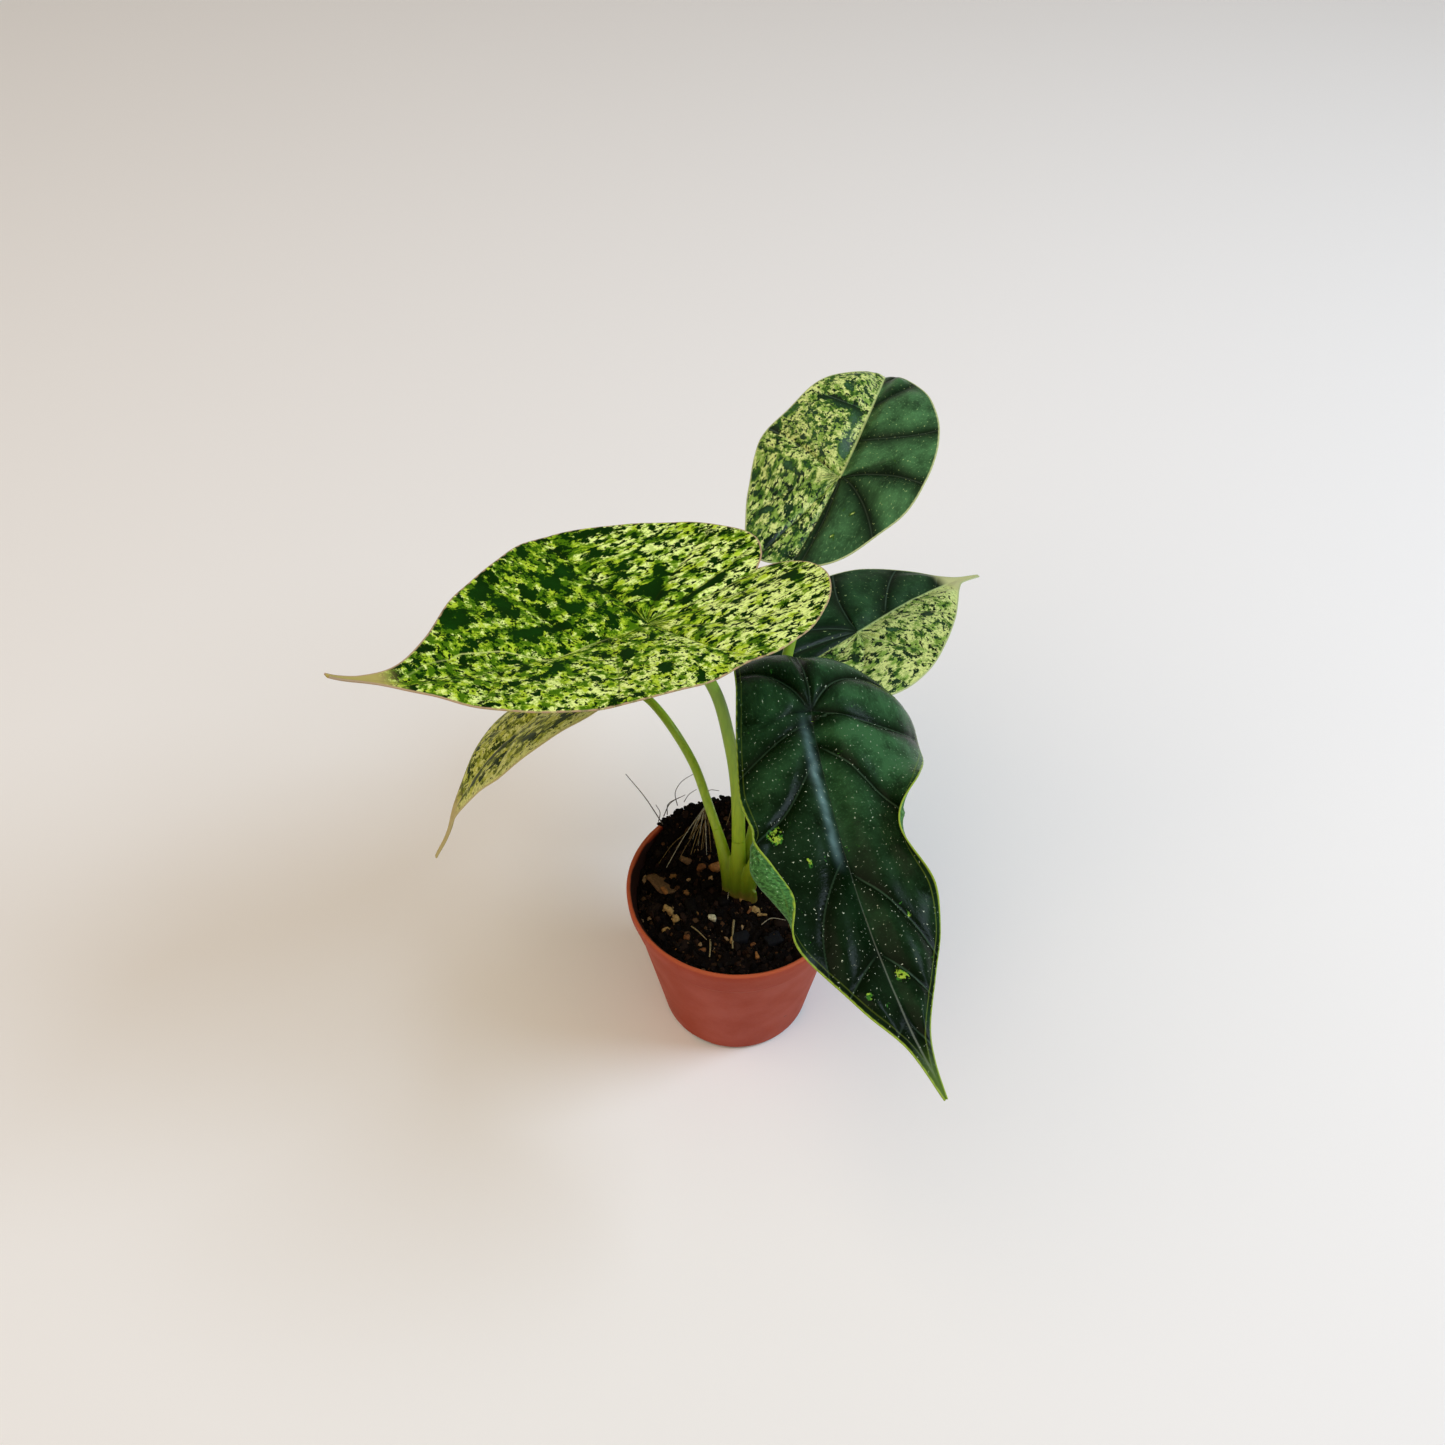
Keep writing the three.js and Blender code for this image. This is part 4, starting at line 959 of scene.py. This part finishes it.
# Potting mix
mix = {"level": 46, "backRise": 4.5, "rough": 0.7, "seatRadius": 10, "seatBlend": 5, "seat": 45.0,
       "sectors": 220, "rings": 96, "fine": 0.9, "banked": 3.2, "overRim": 28.6, "gap": 0.05,
       "footInset": 1.4, "footRise": 0.1}


def mixHeight(x, y):
    rough = np.sin(x * 0.9 + 1.3) * np.cos(y * 0.8) + 0.6 * np.sin(x * 2.1 - y * 1.7)
    bank = mix["backRise"] * smooth((y - 2.4) / 25.2)
    behind = smooth((np.hypot(x, y) - 22) / 6) * smooth((y - 8) / 14)
    away = smooth((np.hypot(x - 1, y - 2.4) - mix["seatRadius"]) / mix["seatBlend"])
    rise = mix["level"] + bank + mix["rough"] * rough - mix["seat"]
    return mix["seat"] + rise * away + mix["banked"] * behind


radii = (potInside(mix["level"]) - mix["gap"]) * np.sqrt(np.linspace(0, 1, mix["rings"] + 1)[1:])
angles = 2 * math.pi * np.arange(mix["sectors"]) / mix["sectors"]
x, y = radii[:, None] * np.cos(angles), radii[:, None] * np.sin(angles)
lumps = np.array([noise.fractal(Vector((a, b, 3)) / 2.6, 0.8, 2.1, 4) for a, b in zip(x.ravel(), y.ravel())])
z = mixHeight(x, y) + mix["fine"] * lumps.reshape(x.shape)
# The surface's outer ring leans in as it rises past the rim, and a skirt closes the body down to the floor
middle = (0, 0, z[0].mean())
lean = np.ones_like(x)
lean[-1] = np.minimum(1, mix["overRim"] / np.hypot(x, y)[-1])
foot, ground = potInside(pot["floor"]) - mix["footInset"], pot["floor"] + mix["footRise"]
rings = [*np.stack([x * lean, y * lean, z], -1), flatRing(foot, ground, angles)]
points, faces = ringMesh(rings, [middle, (0, 0, ground)])
faces = [[f[1], f[0], f[3], f[2]] if len(f) == 4 else [f[0], f[2], f[1]] for f in faces]

# Peat and composted bark: nearly black when moist, matt, with brown flecks
peat, tree, shader = newMaterial("peat_mix", {"IOR": 1.4, "Roughness": 0.9, "Specular IOR Level": 0.08})
coords = addNode(tree, "TexCoord").outputs["Object"]
lumpy = addNode(tree, "TexNoise", {"Vector": coords, "Scale": 700.0, "Detail": 5.0})
flecks = addNode(tree, "TexVoronoi", {"Vector": coords, "Scale": 900.0}).outputs["Color"]
dark = layeredColor(tree, "#020101", [(lumpy, 0, 1, 1, "#140c07"), (flecks, 0.86, 0.95, 0.9, "#4a3320")])
bump = addNode(tree, "Bump", {"Strength": 0.8, "Distance": 0.4 * mm, "Height": lumpy})
setInputs(tree, shader, {"Base Color": dark, "Normal": bump})
newPiece("potting_mix", points, faces, peat, "soil", "potting_mix")
print("potting mix made")


# Crumbs of peat, bark and pumice scattered over the mix with Geometry Nodes
crumbSets = {
    "peat_crumbs": {"Density": 0.8e6, "Smallest": 0.3, "Largest": 1.3, "Seed": 3},
    "bark_bits": {"Density": 0.06e6, "Smallest": 0.5, "Largest": 1.6, "Seed": 8},
}
# A crumb is a coarse ball, pushed in and out, then squashed and turned within these bounds, each with a seed
crumbForm = {"segments": 7, "rings": 5, "dentScale": 1.3, "dents": 0.5, "mostlySmall": 2.6,
             "squash": ((0.55, 0.5, 0.4), (1.3, 1.0, 0.8), 21), "turn": ((0, 0, 0), (6.28, 6.28, 6.28), 22),
             "toneSeed": 23}


def scatterTree():
    group = bpy.data.node_groups.new("scatter_crumbs", "GeometryNodeTree")
    for name, kind in (("Surface", "Geometry"), ("Density", "Float"), ("Smallest", "Float"),
                       ("Largest", "Float"), ("Seed", "Int"), ("Material", "Material")):
        group.interface.new_socket(name, in_out="INPUT", socket_type=f"NodeSocket{kind}")
    group.interface.new_socket("Crumbs", in_out="OUTPUT", socket_type="NodeSocketGeometry")
    given = addNode(group, "NodeGroupInput").outputs
    spots = addNode(group, "GeometryNodeDistributePointsOnFaces",
                    {"Mesh": given["Surface"], "Density": given["Density"], "Seed": given["Seed"]})
    grain = addNode(group, "GeometryNodeMeshUVSphere",
                    {"Segments": crumbForm["segments"], "Rings": crumbForm["rings"]})
    dents = addNode(group, "TexNoise", {"Scale": crumbForm["dentScale"], "Detail": 2.0})
    deep = crumbForm["dents"]
    dents = addNode(group, "MapRange", {0: dents, 1: 0.2, 2: 0.8, 3: -deep, 4: deep})
    normal = addNode(group, "GeometryNodeInputNormal")
    offset = addNode(group, "VectorMath", {0: normal, 3: dents}, operation="SCALE")
    grain = addNode(group, "GeometryNodeSetPosition", {"Geometry": grain, "Offset": offset})
    chance = addNode(group, "FunctionNodeRandomValue", {"Seed": given["Seed"]}, data_type="FLOAT").outputs[1]
    mostlySmall = addNode(group, "Math", {0: chance, 1: crumbForm["mostlySmall"]}, operation="POWER")
    size = addNode(group, "MapRange", {0: mostlySmall, 3: given["Smallest"], 4: given["Largest"]})
    squash, turn = (addNode(group, "FunctionNodeRandomValue", {0: low, 1: high, "Seed": seed},
                            data_type="FLOAT_VECTOR")
                    for low, high, seed in (crumbForm["squash"], crumbForm["turn"]))
    scale = addNode(group, "VectorMath", {0: squash, 3: size}, operation="SCALE")
    crumbs = addNode(group, "GeometryNodeInstanceOnPoints",
                     {"Points": spots, "Instance": grain, "Rotation": turn, "Scale": scale})
    tone = addNode(group, "FunctionNodeRandomValue", {"Seed": crumbForm["toneSeed"]},
                   data_type="FLOAT").outputs[1]
    crumbs = addNode(group, "GeometryNodeStoreNamedAttribute", {"Geometry": crumbs, "Name": "tone", 3: tone},
                     data_type="FLOAT", domain="INSTANCE")
    crumbs = addNode(group, "GeometryNodeRealizeInstances", {0: crumbs})
    crumbs = addNode(group, "GeometryNodeSetMaterial", {"Geometry": crumbs, "Material": given["Material"]})
    addNode(group, "NodeGroupOutput", {"Crumbs": crumbs})
    return group


def crumbMaterial(name, ramp, rough):
    material, tree, shader = newMaterial(name, {"IOR": 1.4, "Roughness": rough, "Specular IOR Level": 0.1})
    tone = addNode(tree, "Attribute", attribute_name="tone").outputs["Fac"]
    shades = addNode(tree, "ValToRGB", {0: tone})
    shades.color_ramp.interpolation = "CONSTANT"
    for k, (share, color) in enumerate(ramp):
        element = shades.color_ramp.elements[k] if k < 2 else shades.color_ramp.elements.new(share)
        element.position, element.color = share, linearColor(color)
    coords = addNode(tree, "TexCoord").outputs["Object"]
    spotted = addNode(tree, "TexNoise", {"Vector": coords, "Scale": 1800.0, "Detail": 3.0})
    color = layeredColor(tree, shades.outputs[0], [(spotted, 0, 1, 1, "#0c0806")])
    bump = addNode(tree, "Bump", {"Strength": 0.6, "Distance": 0.15 * mm, "Height": spotted})
    setInputs(tree, shader, {"Base Color": color, "Normal": bump})
    return material


crumbMaterials = {
    # Torn moist peat, and the odd grain of pumice
    "peat_crumbs": crumbMaterial("torn_peat", (
        (0.0, "#070403"), (0.42, "#160d08"), (0.72, "#2e1c12"), (0.93, "#5a3f26"), (0.978, "#b8946a")), 0.85),
    # Composted pine bark, split along its corky layers
    "bark_bits": crumbMaterial("composted_bark", (
        (0.0, "#1c110a"), (0.35, "#332013"), (0.68, "#5c3c22"), (0.86, "#94683a"), (0.95, "#c9a66c")), 0.8),
}
scatter = scatterTree()
surfaceCorners = mix["rings"] * mix["sectors"]
middleCorner = surfaceCorners + mix["sectors"]
disc = [face for face in faces if max(face) < surfaceCorners or middleCorner in face]
for name, values in crumbSets.items():
    rawSurface = rawObject("raw_surface", points, disc)
    modifier = rawSurface.modifiers.new("scatter", "NODES")
    modifier.node_group = scatter
    given = {**values, "Material": crumbMaterials[name], "Smallest": values["Smallest"] * mm,
             "Largest": values["Largest"] * mm}
    for socket in scatter.interface.items_tree:
        if socket.in_out == "INPUT" and socket.name in given:
            modifier[socket.identifier] = given[socket.name]
    crumbPiece = asPlainMesh(name, rawSurface)
    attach(crumbPiece, "root")
    print("scattered", name, len(crumbPiece.data.polygons), "faces")


# Chips and lumps that stand out on the mix: the middle, length, width and thickness, turn and tilt, height
# over the mix, and the tone
chipForm = {"levels": 9, "sides": 14, "square": 0.5, "broken": 0.6, "fullBreak": 3.2, "grain": 1.5}
chips = (
    (-20.4, 3.9, 8.6, 7, 1, 128, 24, 0.7, 0.4), (-19.7, 0.2, 2.8, 1.3, 1.1, -50, 0, 1.1, 0.65),
    (-18.6, -5.4, 3.6, 2.1, 1.8, -35, 0, 0.5, 0.7), (-17, -7.6, 2.7, 1.8, 1.6, -60, 0, 0.5, 0.72),
    (-19.1, -11.7, 2.5, 1.8, 1.6, 20, 0, 0.4, 0.7), (-6.7, -7.6, 1.9, 1.8, 1.8, 0, 0, 0.5, 0.86),
    (-9.7, 9.3, 2.9, 1.9, 1.3, 10, 0, 0.5, 0.55), (-5.6, 9.9, 3.6, 2.6, 2.2, 40, 20, 0.6, 0.65),
    (-14.3, 10.7, 3.4, 1.7, 1.2, -30, 10, 0.5, 0.45), (-1.2, -15.2, 1.9, 1, 1, 80, 0, 1.3, 0.72),
    (1.6, -0.9, 1.8, 1.3, 1.2, 30, 0, 0.5, 0.8), (6.8, -6.1, 2.7, 0.8, 0.8, 0, 0, 0.5, 0.72),
    (3.6, -4.7, 3.4, 0.7, 0.7, 60, 10, 0.6, 0.6), (4.3, -15.6, 1.5, 1, 0.8, 30, 0, 0.5, 0.5),
    (5.2, -19.9, 2, 0.9, 0.9, 100, 0, 0.5, 0.62), (-9.1, -18.7, 1.8, 1.2, 1, 20, 0, 0.5, 0.58),
    (-13.5, -14.6, 1.7, 1.4, 1, 0, 0, 0.5, 0.55), (-14.7, -16.7, 4, 2.4, 1.4, 30, 12, 0.3, 0.3),
    (0.8, -14.3, 4.6, 3.4, 2, 10, 0, 0.1, 0.95), (9.8, -14.7, 4.4, 3.6, 2, 30, 0, 0.1, 0.95),
    (-22.6, -4.6, 4.6, 3.4, 1.6, 60, 10, 0.3, 0.3), (-8.2, 4.2, 3.8, 2.6, 1.8, 30, 0, 0.3, 0.1),
    (-3.4, -1.8, 3.6, 2.8, 2.4, 20, 0, 0.6, 0.1), (-3, 0.6, 2.6, 2, 2, 60, 0, 1, 0.3),
    (-12.4, -3.4, 4.6, 3, 2, 100, 0, 0.3, 0.1), (12.4, -9.5, 4, 3, 1.8, 20, 0, 0.3, 0.3),
)


def chipMesh(number, chip):
    # A rounded block with an unevenly broken surface, lying on the mix
    atX, atY, length, width, thick, turn, tilt, above, tone = chip
    heights = np.radians(np.linspace(-90, 90, chipForm["levels"]))
    ends = [(0, -1), *((math.cos(a), math.sin(a)) for a in heights[1:-1]), (0, 1)]
    points, faces = latheMesh(ends, chipForm["sides"])
    points = np.sign(points) * np.abs(points) ** chipForm["square"] * (length / 2, width / 2, thick / 2)
    seed = Vector((number * 7.3, 2.1, 0))
    bumps = np.array([noise.noise(Vector(p) / chipForm["grain"] + seed) for p in points])
    points *= 1 + chipForm["broken"] * min(1, chipForm["fullBreak"] / length) * bumps[:, None]
    c, s = cosSin(tilt)
    points = points @ np.array([(1, 0, 0), (0, c, s), (0, -s, c)])
    c, s = cosSin(turn)
    points = points @ np.array([(c, s, 0), (-s, c, 0), (0, 0, 1)])
    return points + (atX, atY, mixHeight(atX, atY) + above), faces


def tonedPiece(name, parts, tones, material):
    # One piece from many small closed meshes, each with its own tone
    piece = newPiece(name, *joinedMesh(parts), material, None, "potting_mix")
    storeField(piece, "tone", "POINT", np.repeat(tones, [len(part[0]) for part in parts]))


# Bark chips, grit and a perlite bead, dulled by wet peat
chipSkin = crumbMaterial("bark_and_grit", (
    (0.0, "#080504"), (0.25, "#20130b"), (0.38, "#7c5c3e"), (0.5, "#80502c"), (0.6, "#a8703c"),
    (0.68, "#c09a60"), (0.83, "#e6dcb4"), (0.92, "#15171c")), 0.8)
# Lumps of the mix also lie on the rim at the back
rimBank = {"from": 88, "to": 136, "count": 96, "radius": 28.6, "strewn": 1.3, "seat": 51.8, "size": 1.5}
heap = []
for k, degrees in enumerate(np.linspace(rimBank["from"], rimBank["to"], rimBank["count"])):
    away = rimBank["radius"] + rimBank["strewn"] * math.sin(k * 2.4)
    atX, atY = (away * v for v in cosSin(degrees))
    size = rimBank["size"] * (0.85 + 0.5 * math.sin(k * 1.7) * math.sin(k * 0.37))
    above = rimBank["seat"] - mixHeight(atX, atY) + 0.5 * math.sin(k * 3.1)
    heap.append((atX, atY, size, 0.75 * size, 0.7 * size, k * 47, 0, above, 0.1 if k % 4 else 0.3))
chips = (*chips, *heap)
tonedPiece("bark_chips", [chipMesh(k, chip) for k, chip in enumerate(chips)], [chip[-1] for chip in chips],
           chipSkin)

# Coir fibres, roots and twigs: radius, tone and the points each passes through
fibreForm = {"sides": 6, "rings": 26, "end": 0.6, "fanRadius": 0.15, "fanLift": 1.3}
fanTops = ((-8.9, 25.4, 53.4), (-8.2, 25, 53.5), (-7.4, 24.6, 53.2))
fanEnds = ((-19.9, 7.9, 46.9), (-17.2, 13.8, 48.4), (-16.4, 10.6, 47.4), (-13.9, 15.1, 48.8),
           (-13, 11.8, 47.7), (-11.8, 13.2, 48.1), (-10.7, 15.1, 48.8), (-10.2, 10.8, 47.3),
           (-9.4, 14.2, 48.3), (-8.3, 12.4, 47.5), (-7.1, 13.5, 47.9), (-6.2, 15.8, 48.6),
           (-12.3, 16.8, 49.2), (-15.4, 12.6, 47.9))
fibres = [
    (0.34, 0.75, ((-0.8, -8.1, 45.8), (-1.1, -12.5, 46.9), (-1.2, -18.4, 47.6))),
    (0.3, 0.75, ((-7.2, -14, 46.6), (-7.1, -17.4, 47.3), (-7.3, -20.9, 47.4))),
    (0.22, 0.75, ((-12.2, -10.8, 46.8), (-10.4, -12.6, 47.1), (-8.1, -15.2, 47))),
    (0.17, 0.95, ((-1.9, 3.6, 49.2), (-2.2, 0.6, 47.4), (-2.5, -1.8, 46))),
    (0.16, 0.35, ((-20.6, 19.8, 52.4), (-25.8, 26.5, 56.4), (-31.3, 32.6, 59.2))),
    (0.13, 0.35, ((-16.6, 25.4, 53.9), (-17.2, 27.6, 57), (-15.4, 29.4, 59.6), (-12, 30.6, 61.6))),
    (0.12, 0.35, ((-14.8, 26.6, 54), (-13.4, 28, 55.6), (-11.2, 28.9, 56.9))),
    (0.15, 0.35, ((-20.4, 21.4, 54), (-18.6, 24.8, 55.6), (-14.4, 27.6, 56))),
    (0.14, 0.35, ((-19.4, 22, 54), (-19.2, 24.6, 55.4), (-16, 27.4, 55.2))),
    (0.14, 0.35, ((-21.8, 19.8, 53.6), (-21.4, 22, 55), (-22.6, 24, 56))),
    (0.12, 0.35, ((-9.4, 28.4, 55), (-7.4, 29.2, 56.2), (-4.8, 29.6, 55.4))),
    (0.15, 0.6, ((-22.6, 13.8, 48.4), (-19.6, 17.6, 50.2), (-15.6, 19.8, 51.4))),
    (0.15, 0.6, ((-13.4, 19, 50.4), (-17.6, 15.4, 49.4), (-21.6, 9.8, 47.6))),
    (0.14, 0.6, ((-4.6, 17.4, 49.6), (-2.4, 21.6, 51.4), (-1.2, 25.6, 53.4))),
    (0.13, 0.95, ((6.6, -10.2, 46.8), (9.2, -8.6, 47.4), (13.2, -8.8, 46.9))),
]
for k, end in enumerate(fanEnds):
    top = np.array(fanTops[k % len(fanTops)])
    middle = 0.5 * (top + end) + (0, 0, fibreForm["fanLift"] - 0.25 * (k % 3))
    fibres.append((fibreForm["fanRadius"], 0.6 if k % 3 else 0.95, (top, middle, end)))
thinning = np.linspace(1, fibreForm["end"], fibreForm["rings"])
strands = [tubeMesh(throughPoints(path, fibreForm["rings"]), radius * thinning, fibreForm["sides"])
           for radius, tone, path in fibres]
# Coir and dry roots: tan to grey, with a dull fibrous surface
fibreSkin = crumbMaterial("coir_and_root", (
    (0.0, "#6b6157"), (0.5, "#8f7448"), (0.7, "#a89468"), (0.9, "#c9bda2")), 0.7)
tonedPiece("coir_fibres", strands, [tone for radius, tone, path in fibres], fibreSkin)
print("chips and fibres laid on the mix")
